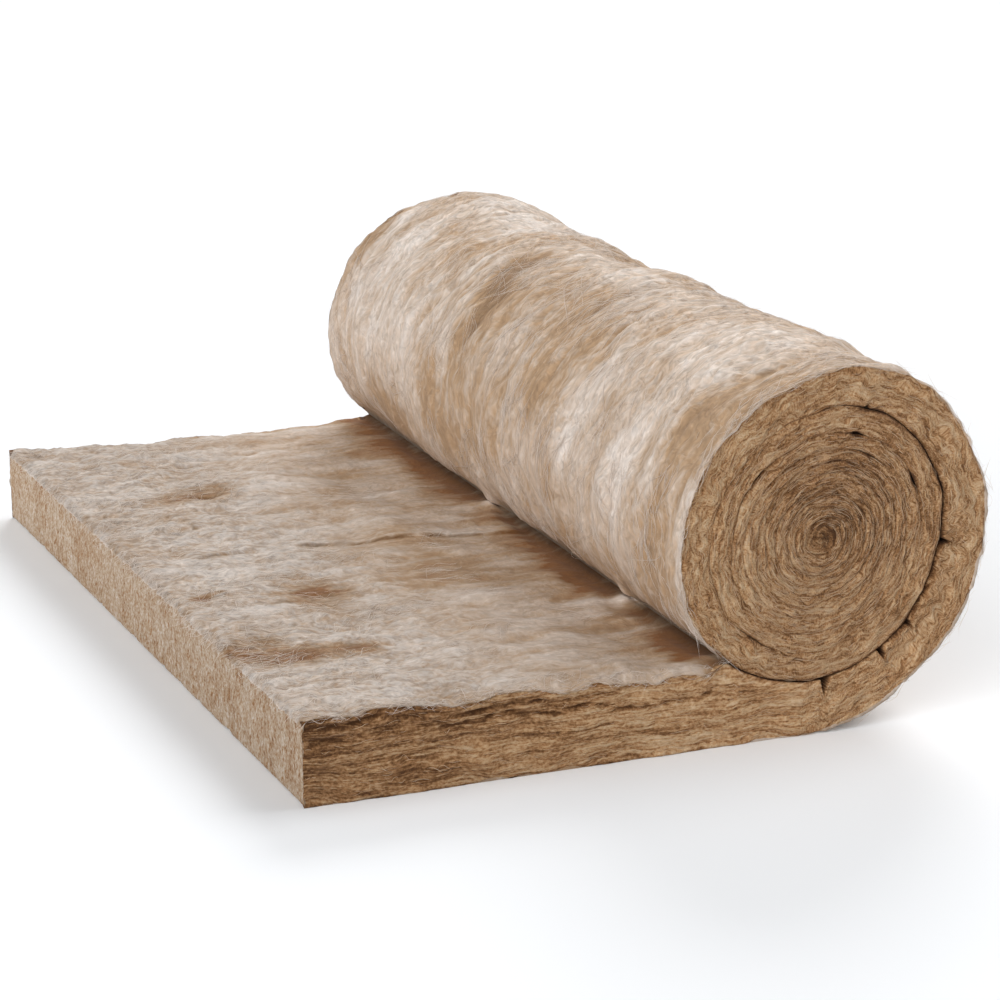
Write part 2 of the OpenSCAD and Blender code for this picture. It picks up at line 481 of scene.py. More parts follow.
def roll_veil(q, length, y):
    """Amount of pale fluff on the roll: streaks round it, with bare and thick patches."""
    skew = y + 0.05 * noise(length * 3, y * 3, 33)
    veil = 0.48 + 0.17 * layered(length * 7, skew * 9, 34) + 0.11 * layered(length * 10, skew * 26, 35)
    return veil - 0.43 * roll_bare(q, y) + patches(q, y, THICK_ON_ROLL, 1.0)


def roll_relief(q, length, y):
    """Height of the roll's face over its winding: swells, lumps, ridges, and puffs that are largest on its
    top, most of them drawn out round it, less the bare patches."""
    skew = y + 0.05 * noise(length * 3, y * 3, 33)
    swell = 0.0022 * layered(length * 4, y * 5, 41) + patches(q, y, SWELLS_ON_ROLL, 1.0)
    lumps = 0.0032 * layered(length * 7, skew * 15, 42, 2)
    puffs = 0.0032 * np.abs(noise(length * 11, skew * 26, 45))
    puffs = puffs + 0.0020 * np.abs(noise(length * 28, skew * 55, 46)) - 0.0015
    puffs = puffs * (1 + 1.1 * np.exp(-(((q - 1.9) / 0.6) ** 2)))
    turned = 0.03 * noise(length * 8, y * 8, 48)
    ridges = 0.0013 * ridged((length + turned) * 13, (skew - turned) * 44, 44) - 0.0006
    return swell + lumps + puffs + ridges - 0.0030 * roll_bare(q, y) - 0.0008


def overhang(x):
    """How far the fluff hangs down over the tail's near top edge: ragged tufts on some stretches."""
    tufts = np.clip(0.9 + 0.6 * layered(x * 36, x * 0 + 4.5, 53, 2), 0, 2)
    return patches(x, 0 * x, OVERHANGS, 1.0) * tufts


def end_relief(y, z):
    """Height of the cut end over its plane: short upright tufts."""
    return 0.0016 * layered(y * 160, z * 50, 51) + 0.0022 * layered(y * 22, z * 22, 52)


def shares(count):
    """Even shares from 0 up to 1, without the 1, as a column."""
    return np.linspace(0, 1, count, endpoint=False)[:, None]


def flat_part(x, z, out, region):
    """A straight stretch of the outline: its points, its one outward direction and its number."""
    return x, z, np.tile(out, (len(x), 1)), np.full(len(x), region)


def edge_part(cut_x, radius, height, turn, region):
    """A rounded edge of the cut end: a quarter circle about a centre at that height, one radius in."""
    x = cut_x + radius - radius * np.sin(turn)
    z = height + radius * np.cos(turn) + 0 * cut_x
    return x, z, np.concatenate([-np.sin(turn), np.cos(turn)], 1), np.full(len(x), region)


def skin_grid(winding, sizes, step, y):
    """The skin as a grid: the section's outline, from the nip along the tail's top, down the cut end, back
    along the underside and round the roll, by the width. Each point stands off the outline by its relief."""
    q_nip = nip_turn(winding, sizes)
    nip = around(winding, np.array([q_nip]))[0][0]
    lift_x = winding.centres[0][0]
    near_cut = lift_x - sizes.tail_length
    cut_x = near_cut - sizes.cut_skew * (y / sizes.width + 0.5)
    high = sizes.thickness - sizes.top_edge
    low = sizes.bottom_edge
    end_rows, under_rows, top_edge_rows, bottom_edge_rows = 30, 26, 6, 4

    top_x = nip[0] + shares(max(4, round((nip[0] - near_cut) / step))) * (cut_x + sizes.top_edge - nip[0])
    end_z = high + shares(end_rows) * (low - high)
    under_x = cut_x + low + shares(under_rows) * (lift_x - cut_x - low)
    q = np.linspace(0, q_nip, round(wound_length(winding, np.array([q_nip]))[0] / step), endpoint=False)
    ring, ring_out = around(winding, q)
    wide = np.zeros_like(y)
    parts = (
        flat_part(top_x, np.full_like(top_x, sizes.thickness), (0.0, 1.0), TAIL_TOP),
        edge_part(cut_x, sizes.top_edge, high, shares(top_edge_rows) * QUARTER, TOP_EDGE),
        flat_part(cut_x + 0 * end_z, end_z + 0 * cut_x, (-1.0, 0.0), CUT_END),
        edge_part(cut_x, low, low, QUARTER + shares(bottom_edge_rows) * QUARTER, BOTTOM_EDGE),
        flat_part(under_x, np.zeros_like(under_x), (0.0, -1.0), UNDERSIDE),
        (ring[:, :1] + wide, ring[:, 1:] + wide, ring_out, np.full(len(q), ROLL_FACE)),
    )
    x, z, out, region = (np.concatenate(stretches) for stretches in zip(*parts))

    turn = np.concatenate([np.zeros(len(x) - len(q)), q])[:, None] + 0 * x
    y = np.broadcast_to(y, x.shape)
    to_nip = np.hypot(x - nip[0], z - nip[1])
    bridge = np.clip(patches(y + 0.008 * noise(y * 40, x * 40, 82), 0 * y, NIP_BRIDGES, 1.0), 0, 1)
    line = Outline(x, y, z, region[:, None], turn, wound_length(winding, turn), to_nip, bridge)
    relief = outline_relief(sizes, line)
    place = np.stack([x + out[:, :1] * relief, y, np.maximum(z + out[:, 1:] * relief, 0.0)], -1)
    length = np.concatenate([[0.0], np.cumsum(np.hypot(*np.diff(np.stack([x[:, 0], z[:, 0]]))))])
    dust = outline_painted_shade_and_tone(sizes, line)
    return Skin(place, out, relief, outline_veil(line), dust, outline_loose(line), length, y, region)


def by_the_nip(line, near_nip):
    """A value on the tail's top and on the roll's face, and 0 elsewhere."""
    return np.where((line.region == TAIL_TOP) | (line.region == ROLL_FACE), near_nip, 0.0)


def outline_relief(sizes, line):
    """How far the skin stands off the outline. The tail's top and the cut end blend at their edge, the
    underside stays on the floor, and all relief fades out at the nip, where a crevice opens between the
    bridges of fluff."""
    end = end_relief(line.y, line.z)
    by_side = ease((np.abs(line.y) - sizes.width / 2 + 0.06) / 0.02)
    end = end + by_side * np.maximum(-end, 0.0)
    corner = np.clip((sizes.thickness - line.z) / sizes.top_edge, 0, 1)
    top = tail_relief(line.x, line.y) * (1 - corner) + end * corner
    roll = roll_relief(line.turn, line.length, line.y) * ease(line.turn / LIFT_TURN)
    relief = np.where(line.region <= TOP_EDGE, top, end)
    relief = np.where(line.region >= BOTTOM_EDGE, np.minimum(end, 0.0), relief)
    relief = np.where(line.region == ROLL_FACE, roll, relief)
    crevice = by_the_nip(line, np.exp(-(((line.to_nip - 0.014) / 0.011) ** 2))) * (1 - 2.4 * line.bridge)
    return relief * ease(line.to_nip / NIP_FADE) - 0.0030 * crevice * ease(line.to_nip / 0.012)


def outline_veil(line):
    """Amount of pale fluff: the roll's or the tail's, cut back in streaks by the nip except at its bridges,
    which is painted shade there.
    """
    on_roll = line.region == ROLL_FACE
    veil = np.where(on_roll, roll_veil(line.turn, line.length, line.y), tail_veil(line.x, line.y))
    # Painted shade by the nip: the fluff thins there towards the deep colour
    painted_nip_shade = by_the_nip(line, np.exp(-((line.to_nip / np.where(on_roll, 0.045, 0.060)) ** 2)))
    painted_nip_shade = painted_nip_shade * (1 - 1.3 * line.bridge)
    streaky = 1 + 0.6 * noise(line.y * 9, line.x * 20, 81) + 0.5 * layered(line.y * 70, line.x * 8, 83)
    return veil - np.where(on_roll, 0.36, 0.74) * painted_nip_shade * streaky


def outline_painted_shade_and_tone(sizes, line):
    """Share of its colour that the wool keeps, with painted shade on the tail's top, most at its cut end, in
    the slit and in the nip; the cut end is darker towards the near side.
    """
    # Painted shade: the tail's top keeps less of its colour over its cut-end half, for light it gets less of
    # than the roll's face
    dust = np.where(line.region == ROLL_FACE, 0.97, 0.69 + 0.32 * ease((line.x + 0.25) / 0.25))
    # Painted shade deep in the nip, except where fluff bridges it
    dust = dust * (1 - 0.34 * (1 - line.bridge) * np.exp(-((line.to_nip / 0.020) ** 2)))
    dust = dust * (1 - 0.60 * (1 - line.bridge) * np.exp(-((line.to_nip / 0.011) ** 2)))
    on_end = (line.region == CUT_END) | (line.region == BOTTOM_EDGE)
    dust = np.where(on_end, 0.78 + 0.14 * ease(line.y / sizes.width + 0.5), dust)
    # Painted shade in the slit
    return np.where(line.region == TAIL_TOP, dust * (1 - 0.45 * slit(line.x, line.y)), dust)


def outline_loose(line):
    """How loose the fluff is, from 0 to 1: most on top of the roll and at the tail's cut end."""
    round_top = np.exp(-(((line.turn - 1.7) / 0.8) ** 2))
    tail = 1 - 0.52 * ease((line.x + 0.30) / 0.24)
    return np.where(line.region == ROLL_FACE, 0.55 + 0.45 * round_top, tail)


def blurred(field, rounds):
    """Each value averaged with its four neighbours, a number of times."""
    for _ in range(rounds):
        padded = np.pad(field, 1, mode="edge")
        field = (field + padded[2:, 1:-1] + padded[:-2, 1:-1] + padded[1:-1, 2:] + padded[1:-1, :-2]) / 5
    return field


def grid_quads(number):
    """Corner numbers of a grid's faces, row by row. The last row joins the first."""
    number = np.concatenate([number, number[:1]])
    corners = number[:-1, :-1], number[:-1, 1:], number[1:, 1:], number[1:, :-1]
    return np.stack([corner.ravel() for corner in corners], -1)


def wool_object(name, points, faces, materials, face_slots=None, values=None, corner_uv=None):
    """A smooth mesh object from arrays. faces is a list of arrays, each with one row of corner numbers a
    face. face_slots has each face's material, values are point attributes and corner_uv is the UV map."""
    mesh = bpy.data.meshes.new(name)
    corners = np.concatenate([np.asarray(block).ravel() for block in faces])
    totals = np.concatenate([np.full(len(block), np.asarray(block).shape[1]) for block in faces])
    begins = np.concatenate([[0], np.cumsum(totals)[:-1]])
    mesh.vertices.add(len(points))
    mesh.vertices.foreach_set("co", np.asarray(points, np.float32).ravel())
    mesh.loops.add(len(corners))
    mesh.loops.foreach_set("vertex_index", corners.astype(np.int32))
    mesh.polygons.add(len(totals))
    mesh.polygons.foreach_set("loop_start", begins.astype(np.int32))
    mesh.polygons.foreach_set("use_smooth", np.ones(len(totals), bool))
    if face_slots is not None:
        mesh.polygons.foreach_set("material_index", face_slots.astype(np.int32))
    for key, value in (values or {}).items():
        attribute = mesh.attributes.new(key, "FLOAT", "POINT")
        attribute.data.foreach_set("value", np.asarray(value, np.float32).ravel())
    if corner_uv is not None:
        layer = mesh.uv_layers.new(name=MAT_UV)
        layer.data.foreach_set("uv", np.asarray(corner_uv, np.float32).ravel())
    mesh.update(calc_edges=True)
    if mesh.validate(verbose=False):
        raise RuntimeError(f"{name} had faces that Blender had to mend")
    for material in materials:
        mesh.materials.append(material)
    piece = bpy.data.objects.new(name, mesh)
    bpy.context.scene.collection.objects.link(piece)
    return piece


def settle(piece):
    """Sets a piece on the frame's body."""
    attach(piece, BODY)
    return piece


def new_node(tree, kind, **settings):
    """A shader node with its inputs set by name, given as words with _ for spaces."""
    node = tree.nodes.new(kind)
    for key, value in settings.items():
        name = key.replace("_", " ")
        if name in node.inputs:
            node.inputs[name].default_value = value
        else:
            setattr(node, key, value)
    return node


def sum_of(tree, *terms, start=0.0):
    """A value socket for a start value and the sum of (socket, factor) pairs."""
    total = None
    for socket, factor in terms:
        step = new_node(tree, "ShaderNodeMath", operation="MULTIPLY_ADD")
        tree.links.new(socket, step.inputs[0])
        step.inputs[1].default_value = factor
        if total is None:
            step.inputs[2].default_value = start
        else:
            tree.links.new(total, step.inputs[2])
        total = step.outputs[0]
    return total


def colour_ramp(tree, factor, stops):
    """A colour socket that runs through (position, colour) stops."""
    ramp = tree.nodes.new("ShaderNodeValToRGB")
    tree.links.new(factor, ramp.inputs["Fac"])
    elements = ramp.color_ramp.elements
    while len(elements) < len(stops):
        elements.new(1.0)
    for element, (position, colour) in zip(elements, stops):
        element.position = position
        element.color = (*colour, 1.0)
    return ramp.outputs["Color"]


def streak_group():
    """Node group: noise drawn out along the first coordinate and bent a little, as combed fibres lie. Its
    second output is 1 on the thin lines where the noise passes its middle."""
    name = "Combed fibres"
    if name in bpy.data.node_groups:
        return bpy.data.node_groups[name]
    tree = bpy.data.node_groups.new(name, "ShaderNodeTree")
    sockets = tree.interface
    sockets.new_socket("Vector", in_out="INPUT", socket_type="NodeSocketVector")
    for label, default in (("Along", 10.0), ("Across", 120.0), ("Bend", 0.01), ("Detail", 4.0)):
        socket = sockets.new_socket(label, in_out="INPUT", socket_type="NodeSocketFloat")
        socket.default_value = default
    sockets.new_socket("Value", in_out="OUTPUT", socket_type="NodeSocketFloat")
    sockets.new_socket("Line", in_out="OUTPUT", socket_type="NodeSocketFloat")
    inlet = tree.nodes.new("NodeGroupInput")
    outlet = tree.nodes.new("NodeGroupOutput")
    links = tree.links
    bend = new_node(tree, "ShaderNodeTexNoise", Scale=9.0, Detail=3.0)
    links.new(inlet.outputs["Vector"], bend.inputs["Vector"])
    centred = new_node(tree, "ShaderNodeVectorMath", operation="SUBTRACT")
    links.new(bend.outputs["Color"], centred.inputs[0])
    centred.inputs[1].default_value = (0.5, 0.5, 0.5)
    pushed = new_node(tree, "ShaderNodeVectorMath", operation="SCALE")
    links.new(centred.outputs[0], pushed.inputs[0])
    links.new(inlet.outputs["Bend"], pushed.inputs["Scale"])
    moved = new_node(tree, "ShaderNodeVectorMath", operation="ADD")
    links.new(inlet.outputs["Vector"], moved.inputs[0])
    links.new(pushed.outputs[0], moved.inputs[1])
    scale = tree.nodes.new("ShaderNodeCombineXYZ")
    links.new(inlet.outputs["Along"], scale.inputs["X"])
    links.new(inlet.outputs["Across"], scale.inputs["Y"])
    links.new(inlet.outputs["Across"], scale.inputs["Z"])
    drawn = new_node(tree, "ShaderNodeVectorMath", operation="MULTIPLY")
    links.new(moved.outputs[0], drawn.inputs[0])
    links.new(scale.outputs[0], drawn.inputs[1])
    grain = new_node(tree, "ShaderNodeTexNoise", Scale=1.0, Roughness=0.6)
    links.new(drawn.outputs[0], grain.inputs["Vector"])
    links.new(inlet.outputs["Detail"], grain.inputs["Detail"])
    links.new(grain.outputs["Fac"], outlet.inputs["Value"])
    half = new_node(tree, "ShaderNodeMath", operation="SUBTRACT")
    links.new(grain.outputs["Fac"], half.inputs[0])
    half.inputs[1].default_value = 0.5
    size = new_node(tree, "ShaderNodeMath", operation="ABSOLUTE")
    links.new(half.outputs[0], size.inputs[0])
    crest = new_node(tree, "ShaderNodeMath", operation="MULTIPLY_ADD", use_clamp=True)
    links.new(size.outputs[0], crest.inputs[0])
    crest.inputs[1].default_value = -16.0
    crest.inputs[2].default_value = 1.0
    links.new(crest.outputs[0], outlet.inputs["Line"])
    return tree


def streaks(tree, vector, along, across, bend=0.01, detail=4.0, output="Value"):
    """A value socket from the group of combed fibres."""
    node = tree.nodes.new("ShaderNodeGroup")
    node.node_tree = streak_group()
    tree.links.new(vector, node.inputs["Vector"])
    node.inputs["Along"].default_value = along
    node.inputs["Across"].default_value = across
    node.inputs["Bend"].default_value = bend
    node.inputs["Detail"].default_value = detail
    return node.outputs[output]


def product_of(tree, first, second):
    """A value socket for the product of two others."""
    product = new_node(tree, "ShaderNodeMath", operation="MULTIPLY")
    tree.links.new(first, product.inputs[0])
    tree.links.new(second, product.inputs[1])
    return product.outputs[0]


def toned_with_painted_shade(tree, colour, grain=None):
    """A colour socket darkened by the mesh's painted shade and tone, and by a grain about 1 if there is one.
    """
    scale = new_node(tree, "ShaderNodeVectorMath", operation="SCALE")
    tree.links.new(colour, scale.inputs[0])
    amount = value_of(tree, "dust")
    if grain is not None:
        amount = product_of(tree, amount, grain)
    tree.links.new(amount, scale.inputs["Scale"])
    return scale.outputs[0]


def value_of(tree, name):
    """A value socket for a mesh attribute."""
    return new_node(tree, "ShaderNodeAttribute", attribute_name=name).outputs["Fac"]


def wool_material(name, sheen):
    """A rough, sheeny material, its tree and its shader."""
    material = bpy.data.materials.new(name)
    material.use_nodes = True
    tree = material.node_tree
    shader = tree.nodes["Principled BSDF"]
    shader.inputs["Roughness"].default_value = 0.92
    shader.inputs["Specular IOR Level"].default_value = 0.12
    shader.inputs["Sheen Weight"].default_value = sheen
    shader.inputs["Sheen Roughness"].default_value = 0.55
    shader.inputs["Sheen Tint"].default_value = (1.0, 0.95, 0.9, 1.0)
    return material, tree, shader


def set_bump(tree, shader, height, strength, distance):
    """Feeds a height into the shader's normal."""
    bump = new_node(tree, "ShaderNodeBump", Strength=strength, Distance=distance)
    tree.links.new(height, bump.inputs["Height"])
    tree.links.new(bump.outputs["Normal"], shader.inputs["Normal"])


def woven(tree, place, weave):
    """Weighted patterns for some layers of fibres, and the sum of their means."""
    patterns = []
    centre = 0.0
    for layer in weave:
        pattern = streaks(tree, place, layer.along, layer.across, layer.bend, layer.detail, layer.output)
        patterns.append((pattern, layer.weight))
        centre += layer.weight * (0.5 if layer.output == "Value" else 0.2)
    return patterns, centre


def face_material(name, colours, deep, weave, tufts, grain):
    """Fluffy face of the mat: layers of cream fluff, thinning to tan and to a deep colour. Its tufts and its
    grain show where the fluff is loose. The ramp runs from 0.3 below no fluff to full fluff."""
    material, tree, shader = wool_material(name, 0.08)
    place = new_node(tree, "ShaderNodeUVMap", uv_map=MAT_UV).outputs["UV"]
    loose = value_of(tree, "loose")
    broad, centre = woven(tree, place, weave)
    fine, fine_centre = woven(tree, place, tufts)
    flecks, mean = woven(tree, place, grain)
    tufted = product_of(tree, sum_of(tree, *fine, start=-fine_centre), loose)
    flecked = product_of(tree, sum_of(tree, *flecks, start=-mean), loose)
    below = 0.3
    share = 1 / (1 + below)
    # Less pale fluff in the skin's hollows and more on its crests: partly deeper fibre there, partly painted
    # shade and painted highlight
    terms = [(value_of(tree, "veil"), share), (value_of(tree, "painted_hollow_shade"), -0.28 * share), (tufted, share)]
    terms += [(pattern, weight * share) for pattern, weight in broad]
    fluff = sum_of(tree, *terms, start=(below - centre) * share)
    stops = ((0.0, deep), (0.42, colours.tan), (0.68, colours.beige), (1.0, colours.cream))
    shade = sum_of(tree, (flecked, 1.0), start=1.0)
    tree.links.new(toned_with_painted_shade(tree, colour_ramp(tree, fluff, stops), shade), shader.inputs["Base Color"])
    set_bump(tree, shader, sum_of(tree, *broad, (tufted, 1.0), (flecked, 1.0)), 0.5, 0.003)
    return material


def end_material(name, colours):
    """Cut end of the mat: upright cut fibres, speckled."""
    material, tree, shader = wool_material(name, 0.08)
    place = new_node(tree, "ShaderNodeTexCoord").outputs["Object"]
    turned = new_node(tree, "ShaderNodeMapping", Rotation=(0.0, math.pi / 2, 0.0))
    tree.links.new(place, turned.inputs["Vector"])
    tufts = streaks(tree, turned.outputs[0], 70.0, 190.0, 0.02)
    specks = streaks(tree, turned.outputs[0], 260.0, 420.0, 0.02, 4.0)
    broad = streaks(tree, turned.outputs[0], 14.0, 20.0, 0.02)
    tone = sum_of(tree, (tufts, 1.3), (specks, 1.9), (broad, 0.6), start=-1.44)
    stops = (
        (0.0, colours.umber),
        (0.18, colours.russet),
        (0.34, colours.tan),
        (0.56, colours.stalk),
        (1.0, colours.cream),
    )
    tree.links.new(toned_with_painted_shade(tree, colour_ramp(tree, tone, stops)), shader.inputs["Base Color"])
    set_bump(tree, shader, sum_of(tree, (tufts, 0.7), (specks, 0.8)), 0.7, 0.004)
    return material


def side_material(name, colours):
    """Cut side of the mat: strata of gold and russet fibres along its length, with painted shade in the seams
    and clefts.
    """
    material, tree, shader = wool_material(name, 0.06)
    place = new_node(tree, "ShaderNodeUVMap", uv_map=MAT_UV).outputs["UV"]
    strata = streaks(tree, place, 8.0, 170.0, 0.014)
    strands = streaks(tree, place, 26.0, 430.0, 0.014, 5.0)
    broad = streaks(tree, place, 6.0, 45.0, 0.02)
    specks = streaks(tree, place, 240.0, 420.0, 0.01, 3.0)
    threads = streaks(tree, place, 9.0, 110.0, 0.03, 3.0, "Line")
    tone = sum_of(
        tree,
        (strata, 1.0),
        (strands, 1.3),
        (broad, 0.6),
        (specks, 1.3),
        (threads, 0.22),
        (value_of(tree, "tint"), 0.6),
        (value_of(tree, "groove"), -0.5),
        start=-1.56,
    )
    stops = (
        (0.02, colours.bark),
        (0.26, colours.umber),
        (0.46, colours.russet),
        (0.68, colours.gold),
        (1.0, colours.straw),
    )
    tree.links.new(toned_with_painted_shade(tree, colour_ramp(tree, tone, stops)), shader.inputs["Base Color"])
    height = sum_of(tree, (strata, 0.7), (strands, 0.8), (specks, 0.4), (threads, 0.2))
    set_bump(tree, shader, height, 0.8, 0.004)
    return material


def fibre_material(name, pale, deep):
    """Loose fibres: each has its own shade between a deep and a pale colour."""
    material, tree, shader = wool_material(name, 0.3)
    place = new_node(tree, "ShaderNodeTexCoord").outputs["Object"]
    mottle = streaks(tree, place, 60.0, 60.0, 0.02, 2.0)
    tone = sum_of(tree, (value_of(tree, "shade"), 0.75), (mottle, 0.5))
    tree.links.new(colour_ramp(tree, tone, ((0.1, deep), (0.9, pale))), shader.inputs["Base Color"])
    return material


def named_material(name, make, *colours):
    """A material that is made once."""
    return bpy.data.materials.get(name) or make(name, *colours)


def rim_columns(skin, across, sizes, near):
    """Three columns of points that carry the skin's edge in behind the cut side: the deep end, the turn level
    with it and the lip just behind the edge. The first two lie below the lowest relief over them."""
    lip_inset, turn_inset = 0.004, 0.008
    lip_depth, deep_depth = 0.003, 0.004
    side = -1.0 if near else 1.0
    half = sizes.width / 2
    edge = skin.place[:, across][:, 0 if near else -1]
    relief = skin.relief[:, across] if near else skin.relief[:, across][:, ::-1]
    covered = np.count_nonzero(np.abs(skin.y[0, across]) > half - sizes.side_depth - turn_inset)
    drop = relief[:, 0] - relief[:, :covered].min(1)
    out = np.stack([skin.out[:, 0], np.zeros(len(skin.out)), skin.out[:, 1]], -1)
    lip = edge - out * lip_depth
    lip[:, 1] = side * (half - lip_inset)
    deep = edge - out * (deep_depth + drop[:, None])
    deep[:, 1] = side * (half - sizes.side_depth - lip_inset)
    turn = deep.copy()
    turn[:, 1] = side * (half - turn_inset)
    return np.stack([deep, turn, lip], 1)


def half_mesh(name, skin, across, sizes, near, materials):
    """One half-width of the mat as a closed mesh: its part of the skin, a rim that turns in behind the cut
    side, a cap there and a cap along the slit."""
    rim = rim_columns(skin, across, sizes, near)
    place = skin.place[:, across]
    grid = np.concatenate([rim, place] if near else [place, rim[:, ::-1]], 1)
    extra = (rim.shape[1], 0) if near else (0, rim.shape[1])
    # Hollows of the relief, for painted shade in them and painted highlight on the crests
    painted_hollow_shade = np.clip((blurred(skin.relief, 10) - skin.relief) / 0.0035, -1, 1)
    fields = {"veil": skin.veil, "painted_hollow_shade": painted_hollow_shade, "dust": skin.dust, "loose": skin.loose}
    values = {key: np.pad(field[:, across], ((0, 0), extra), mode="edge") for key, field in fields.items()}
    count, columns = grid.shape[:2]
    number = np.arange(count * columns).reshape(count, columns)
    caps = [number[None, :, 0], number[None, ::-1, -1]]
    cap_slots = [MATERIAL_OF[ROLL_FACE]] * len(caps)
    face_slots = np.concatenate([np.repeat(MATERIAL_OF[skin.region], columns - 1), cap_slots])
    closing_step = 0.0045
    lengths = np.concatenate([skin.length, [skin.length[-1] + closing_step]])
    width = np.pad(skin.y[0, across], extra, mode="edge")
    uv = np.stack(np.meshgrid(lengths, width, indexing="ij"), -1)
    blocks = uv[:-1, :-1], uv[:-1, 1:], uv[1:, 1:], uv[1:, :-1]
    corner_uv = np.stack([block.reshape(-1, 2) for block in blocks], 1).reshape(-1, 2)
    cap_uv = np.concatenate([grid[:, 0][:, [0, 2]], grid[::-1, -1][:, [0, 2]]])
    faces = [grid_quads(number), *caps]
    all_uv = np.concatenate([corner_uv, cap_uv])
    piece = wool_object(name, grid.reshape(-1, 3), faces, materials, face_slots, values, all_uv)
    sharpen(piece, number[:, -1 if near else 0])
    return piece


def sharpen(piece, rim):
    """Marks the edges whose two ends are both among a rim's points as sharp, so that the shading doesn't run
    round it."""
    mesh = piece.data
    ends = np.zeros(len(mesh.edges) * 2, np.int32)
    mesh.edges.foreach_get("vertices", ends)
    on_rim = np.zeros(len(mesh.vertices), bool)
    on_rim[rim] = True
    sharp = on_rim[ends.reshape(-1, 2)].all(1)
    attribute = mesh.attributes.new("sharp_edge", "BOOLEAN", "EDGE")
    attribute.data.foreach_set("value", sharp)


def skin_columns(sizes, step):
    """Places across the width: a finer half at the near side and a coarser one at the far side."""
    half = sizes.width / 2
    near = np.linspace(-half, 0, round(half / (step * 0.74)) + 1)
    far = np.linspace(0, half, round(half / (step * 0.88)) + 1)
    return np.concatenate([near, far[1:]]), len(near) - 1


def full_skin(scene):
    """The whole skin of the mat with its ragged rims, and the number of the column along the slit."""
    sizes = scene.wool_mat
    winding = wind(sizes)
    y, middle = skin_columns(sizes, scene.wool_fluff.skin_step)
    skin = skin_grid(winding, sizes, scene.wool_fluff.skin_step, y)
    half = sizes.width / 2
    length = skin.length[:, None]
    on_tail = np.isin(skin.region, (TAIL_TOP, TOP_EDGE))[:, None]
    on_top = on_tail | (skin.region == ROLL_FACE)[:, None]
    rag = 0.0015 * ridged(length * 30, length * 0 + 1.5, 61)
    rag = rag + 0.0025 * layered(length * 110, length * 0 + 2.5, 62)
    near_rim = np.exp(-((y[None] + half) / 0.006) ** 2)
    far_rim = np.exp(-((half - y[None]) / 0.006) ** 2)
    reach = np.where(on_top, np.clip(rag, -0.002, 0.006), -0.001)
    skin.place[..., 1] += reach * (far_rim - near_rim)
    hang = overhang(skin.place[..., 0]) * on_tail * near_rim
    skin.place[..., 1] -= 0.5 * hang
    skin.place[..., 2] -= hang
    return skin, middle


class WOOL_OT_build_halves(Operator):
    """Builds the mat's two half-widths: the fluffy skin of the tail and of the roll, and the cut end"""

    bl_idname = "wool.build_halves"
    bl_label = "Build mat halves"

    def execute(self, context):
        scene = context.scene
        colours = scene.wool_colours
        skin, middle = full_skin(scene)
        materials = [
            named_material("Fluffy wool face", face_material, colours, colours.nut, *ROLL_LAYERS),
            named_material("Cut wool end", end_material, colours),
            named_material("Matted wool top", face_material, colours, colours.rust, *TAIL_LAYERS),
        ]
        near = half_mesh("near_half", skin, slice(0, middle + 1), scene.wool_mat, True, materials)
        far = half_mesh("far_half", skin, slice(middle, None), scene.wool_mat, False, materials)
        for piece in (near, far):
            settle(piece)
            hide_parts(NODE)
        return {"FINISHED"}


def side_path(winding, sizes, step, far):
    """The mat's edge as it runs from the cut end to the core: places [x, z] on its outer and its inner
    boundary, the quarter turns of each, and the length along the mat. Neighbouring turns share a wavering
    seam."""
    lift_x = winding.centres[0][0]
    cut_x = lift_x - sizes.tail_length - (sizes.cut_skew if far else 0.0) - 0.0002
    q_nip = nip_turn(winding, sizes)
    nip, _ = around(winding, np.array([q_nip]))
    tail_x = np.linspace(cut_x, lift_x, round((lift_x - cut_x) / step), endpoint=False)
    counts = np.maximum(12, np.round(winding.radii * QUARTER / step)).astype(int)
    q = np.concatenate([k + np.linspace(0, 1, n, endpoint=False) for k, n in enumerate(counts)])
    last = len(winding.radii) - 0.001
    under = np.stack([tail_x, np.zeros_like(tail_x)], -1)
    under_roll = np.clip((tail_x - nip[0][0]) / (lift_x - nip[0][0]), 0, 1)
    over_q = q_nip + under_roll * (OUTER_QUARTERS - q_nip)
    on_top = tail_x < nip[0][0]
    above = np.where(
        on_top[:, None],
        np.stack([tail_x, np.full_like(tail_x, sizes.thickness)], -1),
        wavering(winding, over_q, far),
    )
    within = q + OUTER_QUARTERS < last
    inner = np.where(
        within[:, None],
        wavering(winding, np.minimum(q + OUTER_QUARTERS, last), far),
        winding.centres[-1][None],
    )
    outer = np.concatenate([under, wavering(winding, q, far)])
    inner = np.concatenate([above, inner])
    quarters = np.concatenate([(tail_x - lift_x) / (winding.radii[0] * QUARTER), q])
    inner_quarters = np.concatenate([np.where(on_top, -1.0, over_q), q + OUTER_QUARTERS])
    length = np.concatenate([tail_x - lift_x, wound_length(winding, q)])
    return Path(outer, inner, quarters, inner_quarters, length)


def wavering(winding, q, far):
    """Place on the winding, moved in or out a little where two turns press on each other."""
    place, out = around(winding, q)
    length = wound_length(winding, q)
    row = length * 0 + (8.5 if far else 2.5)
    sway = 0.0035 * layered(length * 9, row, 71) * np.where(q < 8, 1.0, 0.6)
    sway = sway + 0.0020 * noise(length * 34, row, 75)
    sway = sway * ease((q - 3.6) / 0.4)
    return place - out * sway[:, None]


